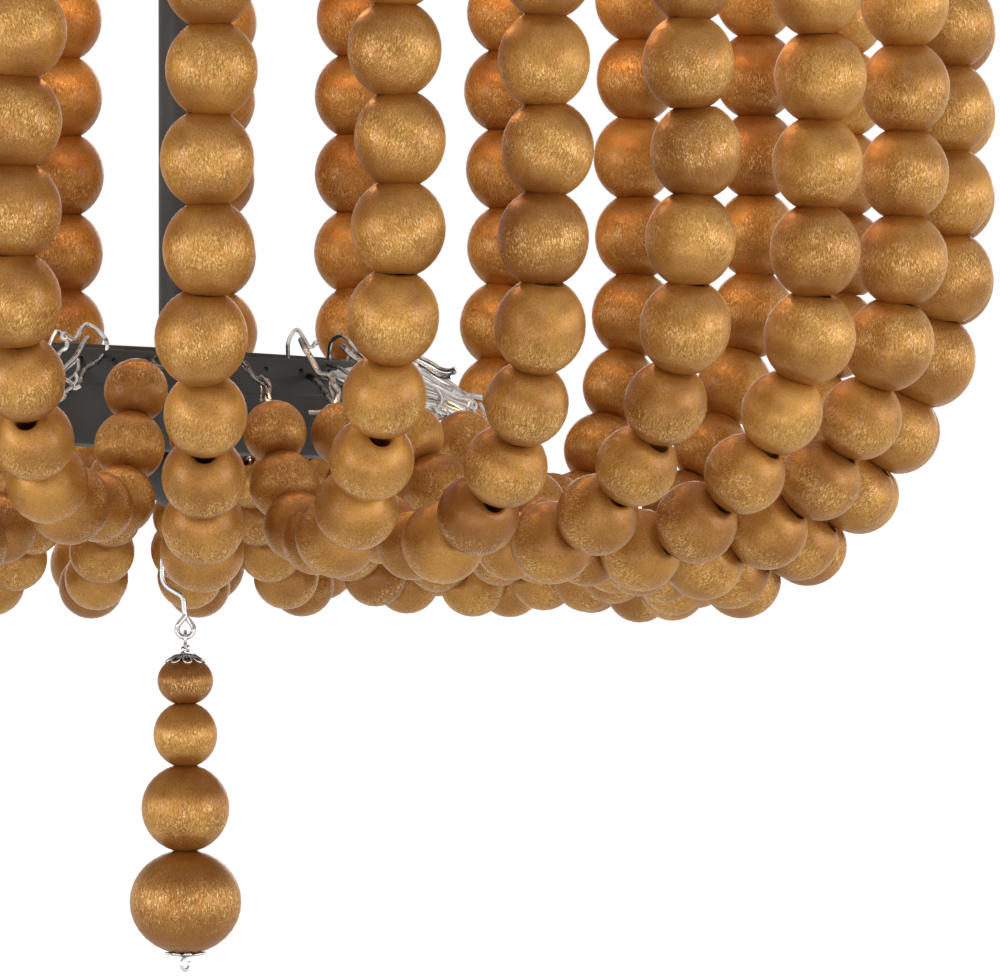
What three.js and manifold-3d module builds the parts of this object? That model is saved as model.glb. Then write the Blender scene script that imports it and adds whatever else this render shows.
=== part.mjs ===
// A round chandelier: a basket of wooden bead strands wired to a black iron frame, with four
// candle lamps inside, a bead drop below, and a short chain up to its ceiling rose.
// Lengths are millimetres and +Z is up. The origin is the middle of the flat top of the
// mounting bar, which lies against the ceiling. The side seen first is -Y, and +X is on its right.

import * as THREE from 'three';
import { mergeVertices } from 'three/addons/utils/BufferGeometryUtils.js';
import Module from 'manifold-3d';

const wasm = await Module();
wasm.setup();

// Clearances that every fit uses.
const seatGap = 0.3; // between two pieces that rest on, or fit in, one another
const swingGap = 0.4; // between two pieces that turn on one another
const cutOverrun = 1; // a cutting solid runs this far past the face it opens
const weldDepth = 1; // a welded bar runs this far into what it is welded to

// The beads, from the top of a strand to its end at the hub.
const bigBead = { width: 25, height: 23.8 };
const midBead = { width: 22.6, height: 21.2 };
const smallBead = { width: 19.4, height: 18.4 };
const endBead = { width: 17.6, height: 16.9 };
const midCount = 4;
const smallCount = 3;
const endCount = 2;
const highEndCount = 1; // on the strands that hang high
const beadFaceShare = 0.19; // radius of the flat round a bead's hole, as a share of its width
const beadRingShare = 0.4; // height of a bead's two widest rings, as a share of half its height
const beadSides = 5;
const wireSides = 3;
const strandWireRadius = 0.8; // two wires twisted together

// The basket. Heights in this block are counted up from its base line.
const strandCount = 28;
const firstStrandDegrees = 1.5;
const drumRadius = 220;
const rimHeight = 308;
const bellyHeight = 88; // the strands hang straight down to here, then turn in
const bellyHandle = 34;
const bottomRadius = 148;
const bottomOuterHandle = 42;
const bottomInnerHandle = 20;
const innerRadius = 90; // of a strand whose bottom is at the base line
const innerHeight = 37.5;
const innerHandleOut = 14;
const innerHandleDown = 23;
const innerRun = 60; // the path goes on this far past its inner point
const slopeStep = 2; // a strand's slope is taken over this far to each side
const lastBigHeight = 70; // where the lowest big bead sits
const spareBeadShare = 0.1; // how far the top bead may reach past its place, as a share of one
const swayOuterRadius = 180; // inside this radius a strand starts to sway to one side
const swayInnerRadius = 100;

// How each hand-strung strand differs from the next, in order from the front strand round by +X.
const driftDegrees = [
  0, 0.3, -1.3, -1.7, -1.2, -0.9, -0.4, 0.9, -0.6, 0.5, -1, -1.2, -2.2, -2.4,
  -4, -4.5, -3, -2.2, -1, 1, -0.5, 0.7, -1.1, 0.2, -0.6, 0.8, -0.2, -0.4,
];
// How far each sways to one side on its way to the hub, in degrees.
const swayDegrees = [
  1, -0.2, 0.3, 1.6, 2, -0.2, 0.3, -0.6, 0.4, -0.3, 0.6, 0.4, 2.2, 1.3,
  3, 2.6, 1, 0.5, 0.4, -0.8, 0.4, -0.5, 0.7, -0.3, 0.5, -0.6, 0.2, 4.3,
];
// The lowest big bead's lift, as shares of a big bead's height.
const liftShares = [
  -0.07, 0.16, 0.05, 0.03, -0.11, -0.22, -0.44, -0.5, -0.34, -0.2, 0.04, 0.02, -0.12, -0.18,
  -0.24, -0.2, -0.06, 0, -0.11, 0.07, -0.02, 0.13, -0.05, 0.04, -0.09, 0.11, 0.04, 0.36,
];
// The bottom's height above the base line, as shares of a middle bead's height. The strands
// at the front are strung shorter, so they hang higher than the ones at the back.
const bottomLiftShares = [
  0.43, 0.58, 0.5, 0.46, 0.33, 0.15, -0.02, -0.24, -0.33, -0.42, -0.36, -0.47, -0.42, -0.48,
  -0.5, -0.5, -0.5, -0.45, -0.5, -0.42, -0.45, -0.35, -0.3, -0.16, 0, 0.2, 0.5, 1.03,
];
const highShare = -0.1; // a strand whose bottom is lifted further than this hangs high

// The black iron frame.
const rimWall = 2;
const rimBandHeight = 25;
const beadToRim = 1;
const spokeCount = 4;
const spokeWidth = 16;
const spokeThickness = 4;
const spiderBossRadius = 14;
const spiderBossHeight = 14;
const stemRadius = 7.5;
const nippleRadius = 4.9;
const threadDepth = 10; // how far a nipple goes into the piece it holds
const upperStemLength = 45;
const hubRadius = 50;
const hubWall = 2;
const hubRimHeight = 62; // above the base line
const hubDepth = 28;
const hubCollarHeight = 10;
const hubCollarStep = 0.8;

// The hooks that the strands' wires make over the rim and over the hub.
const hookReach = 2.4; // how far outside the wall the wire comes up
const hookTuck = 8; // how far its end goes down inside

// The four candle lamps.
const lampCount = 4;
const lampCircleRadius = 70;
const lampBodyHeight = 200; // above the base line
const lampBodyRadius = 22;
const lampBodyDepth = 18;
const lampBodyNeckShare = 0.7; // the body's end faces, as a share of its radius
const lampArmRadius = 4;
const armSagShares = [0, 0.6, 1, 0.9, 0.5];
const armReachShares = [0.24, 0.5, 0.76, 0.94, 1];
const armSag = 20;
const cupRadius = 15;
const cupFootRadius = 5;
const cupDepth = 6;
const cupLip = 1;
const sleeveRadius = 11;
const sleeveHeight = 36;
const lampBaseRadius = 6;
const lampBaseDepth = 22;
const bulbRadius = 17.5;
const bulbHeight = 70;
const bulbWidthShares = [0.4, 0.86, 1, 0.92, 0.62, 0.2];
const bulbHeightShares = [0.05, 0.26, 0.4, 0.56, 0.8, 0.97];

// The knob under the hub, the eye in it, the hook and the bead drop.
const knobRadius = 11.4;
const knobHeight = 17.5;
const knobWidthShares = [0.7, 1, 1, 0.86, 0.7, 0.36];
const knobDepthShares = [0, 0.28, 0.54, 0.74, 0.86, 1];
const eyeWireRadius = 1.1;
const eyeRadius = 4.4;
const eyeNeck = 1.5;
const eyeShank = 6;
const eyeDegrees = [90, 410]; // from its shank round, and a little past it
const hookWireRadius = 0.75;
const hookBowRadius = 6.6;
const hookBowDegrees = [-40, 217]; // from the bow's open end over its top to where it bends in
const hookBend = 6.5; // the height over which the bow comes back to the middle
const hookShank = 5.2;
const hookLoopNeck = 3.3; // from the foot of the shank to the middle of the closed loop
const hookLoopRadius = 2.35;
const hookLoopDegrees = [40, -220];
const pinRadius = 0.5;
const pinEyeRadius = 1.8;
const pinEyeDegrees = [230, -90];
const pinNeck = 2.6;
const pinTailRadius = 1.8;
const pinTailDegrees = [90, 380];
const capRadius = 5.6;
const capCrownShare = 0.55; // the flat middle of a cap, as a share of its radius
const capThickness = 0.5;
const topCapSpread = 1.7; // how far a cap's edge reaches along its bead
const bottomCapSpread = 1;
const dropFaceShare = 0.1; // radius of a drop bead's flat end, as a share of its width
const topDropBead = { width: 16, height: 12.2 };
const upperDropBead = { width: 18.3, height: 17.4 };
const lowerDropBead = { width: 25.2, height: 24.1 };
const endDropBead = { width: 32, height: 29 };
const dropBeads = [topDropBead, upperDropBead, lowerDropBead, endDropBead];

// The chain, its end loops and the ceiling rose.
const chainWireRadius = 2.2;
const linkHalfWidth = 9;
const linkPitch = 34;
const linkCount = 3;
const ringSegments = 12; // corners of a chain ring, an even number
const loopRadius = 11;
const loopBossRadius = 9;
const loopBossHeight = 14;
const roseRadius = 65;
const roseDepth = 24;
const roseWall = 1.2;
const roseLip = 3;
const roseWidthShares = [1, 1, 0.95, 0.77, 0.46, 0.22];
const barLength = 105;
const barWidth = 18;
const barThickness = 3;
const barScrewRadius = 2.5;
const barScrewSpacing = 89;

// Heights worked out down from the ceiling.
const pinch = 2 * chainWireRadius + swingGap; // two hooked wires' centres lie this far apart
const roseLoopTop = -roseDepth - seatGap;
const roseLoopBottom = roseLoopTop - loopBossHeight;
const firstPivot = roseLoopBottom - 2 * loopRadius;
const linkDrop = linkPitch - pinch;
const lastPivot = firstPivot - linkCount * linkDrop;
const topLoopCentre = lastPivot + pinch - loopRadius;
const topBossTop = topLoopCentre - loopRadius;
const topBossBottom = topBossTop - loopBossHeight;
const upperStemTop = topBossBottom - seatGap;
const upperStemBottom = upperStemTop - upperStemLength;
const spiderTop = upperStemBottom - seatGap;
const spiderMiddle = spiderTop - spiderBossHeight / 2;
const lowerStemTop = spiderTop - spiderBossHeight - seatGap;
const rimTop = spiderMiddle + rimBandHeight / 2;
const baseLine = rimTop - rimHeight;
const rimRadius = drumRadius - bigBead.width / 2 - beadToRim;
const boreRadius = nippleRadius + seatGap;
const hubTop = baseLine + hubRimHeight;
const hubBottom = hubTop - hubDepth;
const knobTop = hubBottom - seatGap;
const knobBottom = knobTop - knobHeight;
const eyeCentre = knobBottom - eyeNeck - eyeRadius;
const hookPivot = eyeCentre - eyeRadius;
const hookTop = hookPivot + eyeWireRadius + hookWireRadius + swingGap;
const hookBowCentre = hookTop - hookBowRadius;
const hookBowEnd = hookBowCentre + hookBowRadius * Math.sin(THREE.MathUtils.degToRad(hookBowDegrees[1]));
const hookShankTop = hookBowEnd - hookBend;
const hookShankBottom = hookShankTop - hookShank;
const hookLoopCentre = hookShankBottom - hookLoopNeck;
const dropPivot = hookLoopCentre - hookLoopRadius;
const pinEyeCentre = dropPivot + hookWireRadius + pinRadius + swingGap - pinEyeRadius;
const pinEyeBottom = pinEyeCentre - pinEyeRadius - pinRadius;
const topCapTop = pinEyeBottom - pinNeck;

const woodMaterial = new THREE.MeshStandardMaterial({ color: 0xc09650, roughness: 0.45, metalness: 0 });
const ironMaterial = new THREE.MeshStandardMaterial({ color: 0x403f3c, roughness: 0.6, metalness: 0.6 });
const silverMaterial = new THREE.MeshStandardMaterial({ color: 0xc4c4c4, roughness: 0.25, metalness: 1 });
const sleeveMaterial = new THREE.MeshStandardMaterial({ color: 0xefe6d0, roughness: 0.6, metalness: 0 });
const glassMaterial = new THREE.MeshStandardMaterial({ color: 0xfff2dc, roughness: 0.1, metalness: 0 });

// Turns a geometry's faces outward where they point in.
function facingOut(geometry) {
  const place = geometry.getAttribute('position');
  const index = geometry.index;
  const corner = [new THREE.Vector3(), new THREE.Vector3(), new THREE.Vector3()];
  let volume = 0;
  for (let i = 0; i < index.count; i += 3) {
    corner.forEach((point, j) => point.fromBufferAttribute(place, index.getX(i + j)));
    volume += corner[0].dot(corner[1].clone().cross(corner[2]));
  }
  if (volume < 0) {
    for (let i = 0; i < index.count; i += 3) {
      const swap = index.getX(i + 1);
      index.setX(i + 1, index.getX(i + 2));
      index.setX(i + 2, swap);
    }
  }
  geometry.computeVertexNormals();
  return geometry;
}

// A closed geometry as a solid that can be joined and cut.
function solidOf(geometry) {
  const bare = new THREE.BufferGeometry();
  bare.setAttribute('position', geometry.getAttribute('position'));
  bare.setIndex(geometry.index);
  const merged = mergeVertices(bare);
  const corners = [];
  for (let i = 0; i < merged.index.count; i += 3) {
    const [a, b, c] = [0, 1, 2].map((j) => merged.index.getX(i + j));
    if (a !== b && b !== c && c !== a) corners.push(a, b, c);
  }
  return new wasm.Manifold(new wasm.Mesh({
    numProp: 3,
    vertProperties: merged.getAttribute('position').array,
    triVerts: new Uint32Array(corners),
  }));
}

function geometryOf(solid) {
  const mesh = solid.getMesh();
  const geometry = new THREE.BufferGeometry();
  geometry.setAttribute('position', new THREE.BufferAttribute(new Float32Array(mesh.vertProperties), 3));
  geometry.setIndex(new THREE.BufferAttribute(new Uint32Array(mesh.triVerts), 1));
  geometry.computeVertexNormals();
  return geometry;
}

// A solid of revolution about Z, from pairs of radius and height.
function turned(profile, segments) {
  const points = profile.map(([radius, height]) => new THREE.Vector2(radius, height));
  const geometry = new THREE.LatheGeometry(points, segments);
  geometry.rotateX(Math.PI / 2);
  return facingOut(geometry);
}

// The same for a profile that closes on itself, which leaves a hole through the middle.
function turnedRing(profile, segments) {
  return turned([...profile, profile[0]], segments);
}

function rod(radius, top, bottom, segments) {
  return turned([[0, bottom], [radius, bottom], [radius, top], [0, top]], segments);
}

// A body swept through rings of points. Each ring has a centre, two directions across the
// sweep, a radius, a number of sides and a turn, counted in whole turns.
function swept(rings) {
  const places = [];
  const corners = [];
  const starts = [];
  for (const { centre, across, beside, radius, sides, turn = 0 } of rings) {
    starts.push(places.length / 3);
    for (let i = 0; i < sides; i += 1) {
      const angle = 2 * Math.PI * (i / sides + turn);
      const point = centre.clone();
      point.addScaledVector(across, radius * Math.cos(angle));
      point.addScaledVector(beside, radius * Math.sin(angle));
      places.push(point.x, point.y, point.z);
    }
  }
  for (let k = 0; k + 1 < rings.length; k += 1) {
    const low = rings[k];
    const high = rings[k + 1];
    let i = 0;
    let j = 0;
    while (i < low.sides || j < high.sides) {
      const nextLow = (low.turn ?? 0) + (i + 1) / low.sides;
      const nextHigh = (high.turn ?? 0) + (j + 1) / high.sides;
      const a = starts[k] + (i % low.sides);
      const b = starts[k + 1] + (j % high.sides);
      if (j === high.sides || (i < low.sides && nextLow <= nextHigh)) {
        corners.push(a, starts[k] + ((i + 1) % low.sides), b);
        i += 1;
      } else {
        corners.push(a, starts[k + 1] + ((j + 1) % high.sides), b);
        j += 1;
      }
    }
  }
  const last = starts[rings.length - 1];
  for (let i = 1; i + 1 < rings[0].sides; i += 1) corners.push(0, i + 1, i);
  for (let i = 1; i + 1 < rings.at(-1).sides; i += 1) corners.push(last, last + i, last + i + 1);
  const geometry = new THREE.BufferGeometry();
  geometry.setAttribute('position', new THREE.Float32BufferAttribute(places, 3));
  geometry.setIndex(corners);
  return facingOut(geometry);
}

// A wire through points that lie in one plane, whose normal is given.
function bentWire(points, normal, radius, sides) {
  const rings = points.map((centre, i) => {
    const before = points[Math.max(i - 1, 0)];
    const after = points[Math.min(i + 1, points.length - 1)];
    const along = after.clone().sub(before).normalize();
    const across = new THREE.Vector3().crossVectors(normal, along);
    return { centre, across, beside: normal, radius, sides };
  });
  return swept(rings);
}

// Points on an arc in the plane of two directions, from one angle to another in degrees.
function arcPoints(centre, right, up, radius, fromDegrees, toDegrees, steps) {
  return Array.from({ length: steps + 1 }, (_, i) => {
    const angle = THREE.MathUtils.degToRad(fromDegrees + ((toDegrees - fromDegrees) * i) / steps);
    const point = centre.clone();
    point.addScaledVector(right, radius * Math.cos(angle));
    point.addScaledVector(up, radius * Math.sin(angle));
    return point;
  });
}

const xAxis = new THREE.Vector3(1, 0, 0);
const yAxis = new THREE.Vector3(0, 1, 0);
const zAxis = new THREE.Vector3(0, 0, 1);

const chandelier = new THREE.Group();

function addPiece(name, geometry, material) {
  const mesh = new THREE.Mesh(geometry, material);
  mesh.name = name;
  chandelier.add(mesh);
  return mesh;
}

// The line of one strand in its own plane, x being the radius: straight down from the rim,
// in under the basket, and up to the hub.
function strandLine(k) {
  const lift = bottomLiftShares[k] * midBead.height;
  const bottom = baseLine + lift;
  const inner = new THREE.Vector2(innerRadius + lift, baseLine + innerHeight);
  const innerHandle = new THREE.Vector2(inner.x + innerHandleOut, inner.y - innerHandleDown);
  const rise = inner.clone().sub(innerHandle).setLength(innerRun);
  const line = new THREE.CurvePath();
  line.add(new THREE.LineCurve(
    new THREE.Vector2(drumRadius, rimTop),
    new THREE.Vector2(drumRadius, baseLine + bellyHeight),
  ));
  line.add(new THREE.CubicBezierCurve(
    new THREE.Vector2(drumRadius, baseLine + bellyHeight),
    new THREE.Vector2(drumRadius, baseLine + bellyHeight - bellyHandle),
    new THREE.Vector2(bottomRadius + bottomOuterHandle, bottom),
    new THREE.Vector2(bottomRadius, bottom),
  ));
  line.add(new THREE.CubicBezierCurve(
    new THREE.Vector2(bottomRadius, bottom),
    new THREE.Vector2(bottomRadius - bottomInnerHandle, bottom),
    innerHandle,
    inner,
  ));
  line.add(new THREE.LineCurve(inner, inner.clone().add(rise)));
  return line;
}

// How far strand k is turned from its even place, in degrees, at a radius.
function strandTurn(k, radius) {
  const inner = 1 - THREE.MathUtils.smoothstep(radius, swayInnerRadius, swayOuterRadius);
  return driftDegrees[k] + swayDegrees[k] * inner;
}

// The beads of one strand, each with its middle's distance down the line.
function strandBeads(k) {
  const lowestBig = rimHeight - lastBigHeight - liftShares[k] * bigBead.height;
  const bigCount = Math.floor((rimHeight - lastBigHeight) / bigBead.height + spareBeadShare);
  const beads = [];
  for (let i = bigCount - 1; i >= 0; i -= 1) {
    beads.push({ ...bigBead, at: lowestBig - i * bigBead.height });
  }
  let edge = lowestBig + bigBead.height / 2;
  const lastCount = bottomLiftShares[k] > highShare ? highEndCount : endCount;
  for (const [bead, count] of [[midBead, midCount], [smallBead, smallCount], [endBead, lastCount]]) {
    for (let i = 0; i < count; i += 1) {
      beads.push({ ...bead, at: edge + bead.height / 2 });
      edge += bead.height;
    }
  }
  return beads;
}

// The wire's hook over a wall's top edge, from its tucked end to where it comes up outside.
function wireHook(wallRadius, wallThickness, wallTop) {
  const lift = strandWireRadius + seatGap;
  return [
    [wallRadius - wallThickness - lift - seatGap, wallTop - hookTuck],
    [wallRadius - wallThickness - lift, wallTop + lift / 2],
    [wallRadius - wallThickness / 2, wallTop + 2 * lift],
    [wallRadius + hookReach, wallTop],
  ];
}

// One strand: its hook at the rim, its beads and its hook at the hub, as one threaded string.
function strandGeometry(k) {
  const line = strandLine(k);
  const length = line.getLength();
  // A point of the strand in space, from its radius and height.
  const placed = (radius, height) => {
    const angle = THREE.MathUtils.degToRad(strandTurn(k, radius));
    return new THREE.Vector3(radius * Math.cos(angle), radius * Math.sin(angle), height);
  };
  const lineAt = (distance) => {
    const point = line.getPointAt(distance / length);
    return placed(point.x, point.y);
  };
  // A ring across the line at a distance, square to the line there.
  const frameAt = (distance, square) => {
    const along = lineAt(square + slopeStep).sub(lineAt(square - slopeStep)).normalize();
    const beside = new THREE.Vector3().crossVectors(zAxis, lineAt(square)).normalize();
    const across = new THREE.Vector3().crossVectors(beside, along).normalize();
    const centre = lineAt(square).addScaledVector(along, distance - square);
    return { centre, across, beside: new THREE.Vector3().crossVectors(along, across) };
  };
  const wireRings = (pairs, next) => {
    const points = pairs.map(([radius, height]) => placed(radius, height));
    return points.map((centre, i) => {
      const before = points[Math.max(i - 1, 0)];
      const after = i + 1 < points.length ? points[i + 1] : next;
      const along = after.clone().sub(before).normalize();
      const beside = new THREE.Vector3().crossVectors(zAxis, centre).normalize();
      const across = new THREE.Vector3().crossVectors(beside, along).normalize();
      const square = new THREE.Vector3().crossVectors(along, across);
      return { centre, across, beside: square, radius: strandWireRadius, sides: wireSides };
    });
  };
  const beads = strandBeads(k);
  const first = beads[0];
  const last = beads.at(-1);
  const topFace = first.at - first.height / 2;
  const endFace = last.at + last.height / 2;
  const rings = [];
  const rimHook = wireHook(rimRadius, rimWall, rimTop);
  rings.push(...wireRings(rimHook, lineAt(topFace)));
  const wireAt = (distance) => ({
    ...frameAt(distance, distance), radius: strandWireRadius, sides: wireSides,
  });
  rings.push(wireAt(topFace));
  beads.forEach((bead, i) => {
    const before = i > 0 ? beads[i - 1] : bead;
    const face = beadFaceShare * Math.min(bead.width, before.width);
    const ringOffset = (beadRingShare * bead.height) / 2;
    const edge = bead.at - bead.height / 2;
    rings.push({ ...frameAt(edge, edge), radius: face, sides: wireSides });
    rings.push({
      ...frameAt(bead.at - ringOffset, bead.at), radius: bead.width / 2, sides: beadSides,
    });
    rings.push({
      ...frameAt(bead.at + ringOffset, bead.at), radius: bead.width / 2, sides: beadSides,
      turn: 0.5 / beadSides,
    });
  });
  rings.push({ ...frameAt(endFace, endFace), radius: beadFaceShare * last.width, sides: wireSides });
  rings.push(wireAt(endFace));
  const hubHook = wireHook(hubRadius, hubWall, hubTop);
  const hubPoints = hubHook.map(([radius, height]) => placed(radius, height)).reverse();
  const tail = [lineAt(endFace), ...hubPoints];
  for (let i = 1; i < tail.length; i += 1) {
    const after = tail[Math.min(i + 1, tail.length - 1)];
    const along = after.clone().sub(tail[i - 1]).normalize();
    const beside = new THREE.Vector3().crossVectors(zAxis, tail[i]).normalize();
    const across = new THREE.Vector3().crossVectors(beside, along).normalize();
    const square = new THREE.Vector3().crossVectors(along, across);
    rings.push({ centre: tail[i], across, beside: square, radius: strandWireRadius, sides: wireSides });
  }
  return swept(rings);
}

function addStrands() {
  for (let k = 0; k < strandCount; k += 1) {
    const name = `bead_strand_${String(k + 1).padStart(2, '0')}`;
    const strand = addPiece(name, strandGeometry(k), woodMaterial);
    const degrees = firstStrandDegrees - 90 + (360 * k) / strandCount;
    strand.rotation.z = THREE.MathUtils.degToRad(degrees);
  }
}

// The rim band, its four flat spokes and the boss that the stem clamps, welded into one frame.
function addTopFrame() {
  const band = turnedRing([
    [rimRadius, rimTop - rimBandHeight],
    [rimRadius, rimTop],
    [rimRadius - rimWall, rimTop],
    [rimRadius - rimWall, rimTop - rimBandHeight],
  ], 2 * strandCount);
  let frame = solidOf(band);
  const reach = rimRadius - rimWall + weldDepth;
  for (let i = 0; i < spokeCount / 2; i += 1) {
    const spoke = new THREE.BoxGeometry(2 * reach, spokeWidth, spokeThickness);
    spoke.rotateZ((2 * Math.PI * i) / spokeCount);
    spoke.translate(0, 0, spiderMiddle);
    frame = frame.add(solidOf(spoke));
  }
  frame = frame.add(solidOf(rod(spiderBossRadius, spiderTop, spiderTop - spiderBossHeight, 16)));
  const bore = rod(boreRadius, spiderTop + cutOverrun, spiderTop - spiderBossHeight - cutOverrun, 12);
  addPiece('top_frame', geometryOf(frame.subtract(solidOf(bore))), ironMaterial);
}

// The two pipes of the stem. The upper one's nipples go into the loop above it, and down
// through the frame's boss into the lower pipe.
function addStems() {
  const nippleBottom = lowerStemTop - threadDepth;
  const nippleTop = upperStemTop + seatGap + threadDepth;
  addPiece('upper_stem', turned([
    [0, nippleBottom],
    [nippleRadius, nippleBottom],
    [nippleRadius, upperStemBottom],
    [stemRadius, upperStemBottom],
    [stemRadius, upperStemTop],
    [nippleRadius, upperStemTop],
    [nippleRadius, nippleTop],
    [0, nippleTop],
  ], 12), ironMaterial);
  const lowerStemBottom = hubBottom + hubWall + seatGap;
  addPiece('lower_stem', turnedRing([
    [stemRadius, lowerStemBottom],
    [stemRadius, lowerStemTop],
    [boreRadius, lowerStemTop],
    [boreRadius, lowerStemBottom],
  ], 12), ironMaterial);
}

// The shallow cup at the foot of the stem, over whose rim the strands' inner ends hook.
function addHub() {
  const foot = hubRadius - hubCollarStep;
  addPiece('hub_cup', turnedRing([
    [hubRadius, hubTop],
    [hubRadius, hubTop - hubCollarHeight],
    [foot, hubTop - hubCollarHeight],
    [foot, hubBottom],
    [boreRadius, hubBottom],
    [boreRadius, hubBottom + hubWall],
    [hubRadius - hubWall, hubBottom + hubWall],
    [hubRadius - hubWall, hubTop],
  ], strandCount), ironMaterial);
}

// The knob screws up through the hub into the stem and holds the hub on.
function addKnob() {
  const studTop = knobTop + seatGap + hubWall + seatGap + threadDepth;
  const holeRadius = eyeWireRadius + seatGap;
  const holeTop = knobBottom + eyeShank + seatGap;
  const side = knobWidthShares.map((share, i) => [
    share * knobRadius, knobTop - knobDepthShares[i] * knobHeight,
  ]);
  addPiece('hub_knob', turned([
    [0, studTop],
    [nippleRadius, studTop],
    [nippleRadius, knobTop],
    ...side,
    [holeRadius, knobBottom],
    [holeRadius, holeTop],
    [0, holeTop],
  ], 12), ironMaterial);
  const ring = arcPoints(
    new THREE.Vector3(0, 0, eyeCentre), yAxis, zAxis, eyeRadius, ...eyeDegrees, 12);
  const shankTop = new THREE.Vector3(0, 0, knobBottom + eyeShank);
  addPiece('hook_eye', bentWire([shankTop, ...ring], xAxis, eyeWireRadius, 5), silverMaterial);
}

// The bent wire hook: an open bow over the eye, a shank and a small closed loop.
function addHook() {
  const bow = arcPoints(
    new THREE.Vector3(0, 0, hookBowCentre), xAxis, zAxis, hookBowRadius, ...hookBowDegrees, 11);
  const loop = arcPoints(
    new THREE.Vector3(0, 0, hookLoopCentre), xAxis, zAxis, hookLoopRadius, ...hookLoopDegrees, 8);
  const shank = [hookShankTop, hookShankBottom].map((height) => new THREE.Vector3(0, 0, height));
  const hook = bentWire([...bow, ...shank, ...loop], yAxis, hookWireRadius, 5);
  addPiece('s_hook', hook, silverMaterial);
}

// A bead of the drop, with the hole that it turns on.
function dropBeadGeometry(bead, top) {
  const hole = pinRadius + swingGap;
  const face = dropFaceShare * bead.width;
  const steepest = Math.acos((2 * face) / bead.width);
  const side = [-1, -0.5, 0, 0.5, 1].map((share) => [
    (bead.width / 2) * Math.cos(share * steepest),
    top - bead.height / 2 + ((bead.height / 2) * Math.sin(share * steepest)) / Math.sin(steepest),
  ]);
  return turnedRing([[hole, top - bead.height], ...side, [hole, top]], 12);
}

// A thin dished cap: its face against the bead, how far its edge follows the bead, and its
// thickness, both counted up, so that a cap under a bead has a negative thickness.
function capGeometry(face, spread, thickness) {
  const hole = pinRadius + swingGap;
  const crown = capCrownShare * capRadius;
  return turnedRing([
    [hole, face],
    [crown, face],
    [capRadius, face + spread],
    [capRadius, face + spread + thickness],
    [crown, face + thickness],
    [hole, face + thickness],
  ], 10);
}

// The drop: a pin with an eye at its top and a curl at its foot, a cap, four beads and a cap.
function addDrop() {
  const topFace = topCapTop - capThickness;
  addPiece('drop_cap_top', capGeometry(topFace, -topCapSpread, capThickness), silverMaterial);
  let top = topFace - seatGap;
  dropBeads.forEach((bead, i) => {
    addPiece(`drop_bead_${i + 1}`, dropBeadGeometry(bead, top), woodMaterial);
    top -= bead.height + seatGap;
  });
  addPiece('drop_cap_bottom', capGeometry(top, bottomCapSpread, -capThickness), silverMaterial);
  const tailCentre = top - capThickness - seatGap - pinRadius - pinTailRadius;
  const eye = arcPoints(
    new THREE.Vector3(0, 0, pinEyeCentre), yAxis, zAxis, pinEyeRadius, ...pinEyeDegrees, 9);
  const tail = arcPoints(
    new THREE.Vector3(0, 0, tailCentre), yAxis, zAxis, pinTailRadius, ...pinTailDegrees, 7);
  addPiece('drop_pin', bentWire([...eye, ...tail], xAxis, pinRadius, 5), silverMaterial);
}

// The lamp body on the stem, with its four arms and the cups at their ends.
function addLamps() {
  const middle = baseLine + lampBodyHeight;
  const lampTurn = Math.PI / lampCount;
  const half = lampBodyDepth / 2;
  let body = solidOf(turned([
    [0, middle - half],
    [lampBodyNeckShare * lampBodyRadius, middle - half],
    [lampBodyRadius, middle - half / 2],
    [lampBodyRadius, middle + half / 2],
    [lampBodyNeckShare * lampBodyRadius, middle + half],
    [0, middle + half],
  ], 12));
  const cupTop = middle - armSagShares.at(-1) * armSag + cupDepth;
  for (let i = 0; i < lampCount; i += 1) {
    const angle = lampTurn + (2 * Math.PI * i) / lampCount;
    const points = armReachShares.map((share, j) => new THREE.Vector3(
      share * lampCircleRadius, 0, middle - armSagShares[j] * armSag));
    const arm = bentWire(points, yAxis, lampArmRadius, 5);
    const cup = turned([
      [0, cupTop - cupDepth - lampArmRadius],
      [cupFootRadius, cupTop - cupDepth - lampArmRadius],
      [cupFootRadius, cupTop - cupDepth],
      [cupRadius, cupTop - cupLip],
      [cupRadius, cupTop],
      [0, cupTop],
    ], 8);
    cup.translate(lampCircleRadius, 0, 0);
    body = body.add(solidOf(arm.rotateZ(angle))).add(solidOf(cup.rotateZ(angle)));
    const sleeveBottom = cupTop + seatGap;
    const sleeveTop = sleeveBottom + sleeveHeight;
    const socketBottom = sleeveTop - lampBaseDepth;
    const socketRadius = lampBaseRadius + seatGap;
    const sleeve = addPiece(`candle_sleeve_${i + 1}`, turned([
      [0, sleeveBottom],
      [sleeveRadius, sleeveBottom],
      [sleeveRadius, sleeveTop],
      [socketRadius, sleeveTop],
      [socketRadius, socketBottom],
      [0, socketBottom],
    ], 8), sleeveMaterial);
    const glass = bulbWidthShares.map((share, j) => [
      share * bulbRadius, sleeveTop + seatGap + bulbHeightShares[j] * bulbHeight,
    ]);
    const bulb = addPiece(`candle_bulb_${i + 1}`, turned([
      [0, socketBottom + seatGap],
      [lampBaseRadius, socketBottom + seatGap],
      [lampBaseRadius, sleeveTop + seatGap],
      ...glass,
      [0, sleeveTop + seatGap + bulbHeight],
    ], 8), glassMaterial);
    for (const piece of [sleeve, bulb]) {
      piece.position.set(lampCircleRadius * Math.cos(angle), lampCircleRadius * Math.sin(angle), 0);
    }
  }
  const bore = rod(
    stemRadius + seatGap, middle + half + cutOverrun, middle - half - cutOverrun, 12);
  addPiece('lamp_body', geometryOf(body.subtract(solidOf(bore))), ironMaterial);
}

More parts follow.
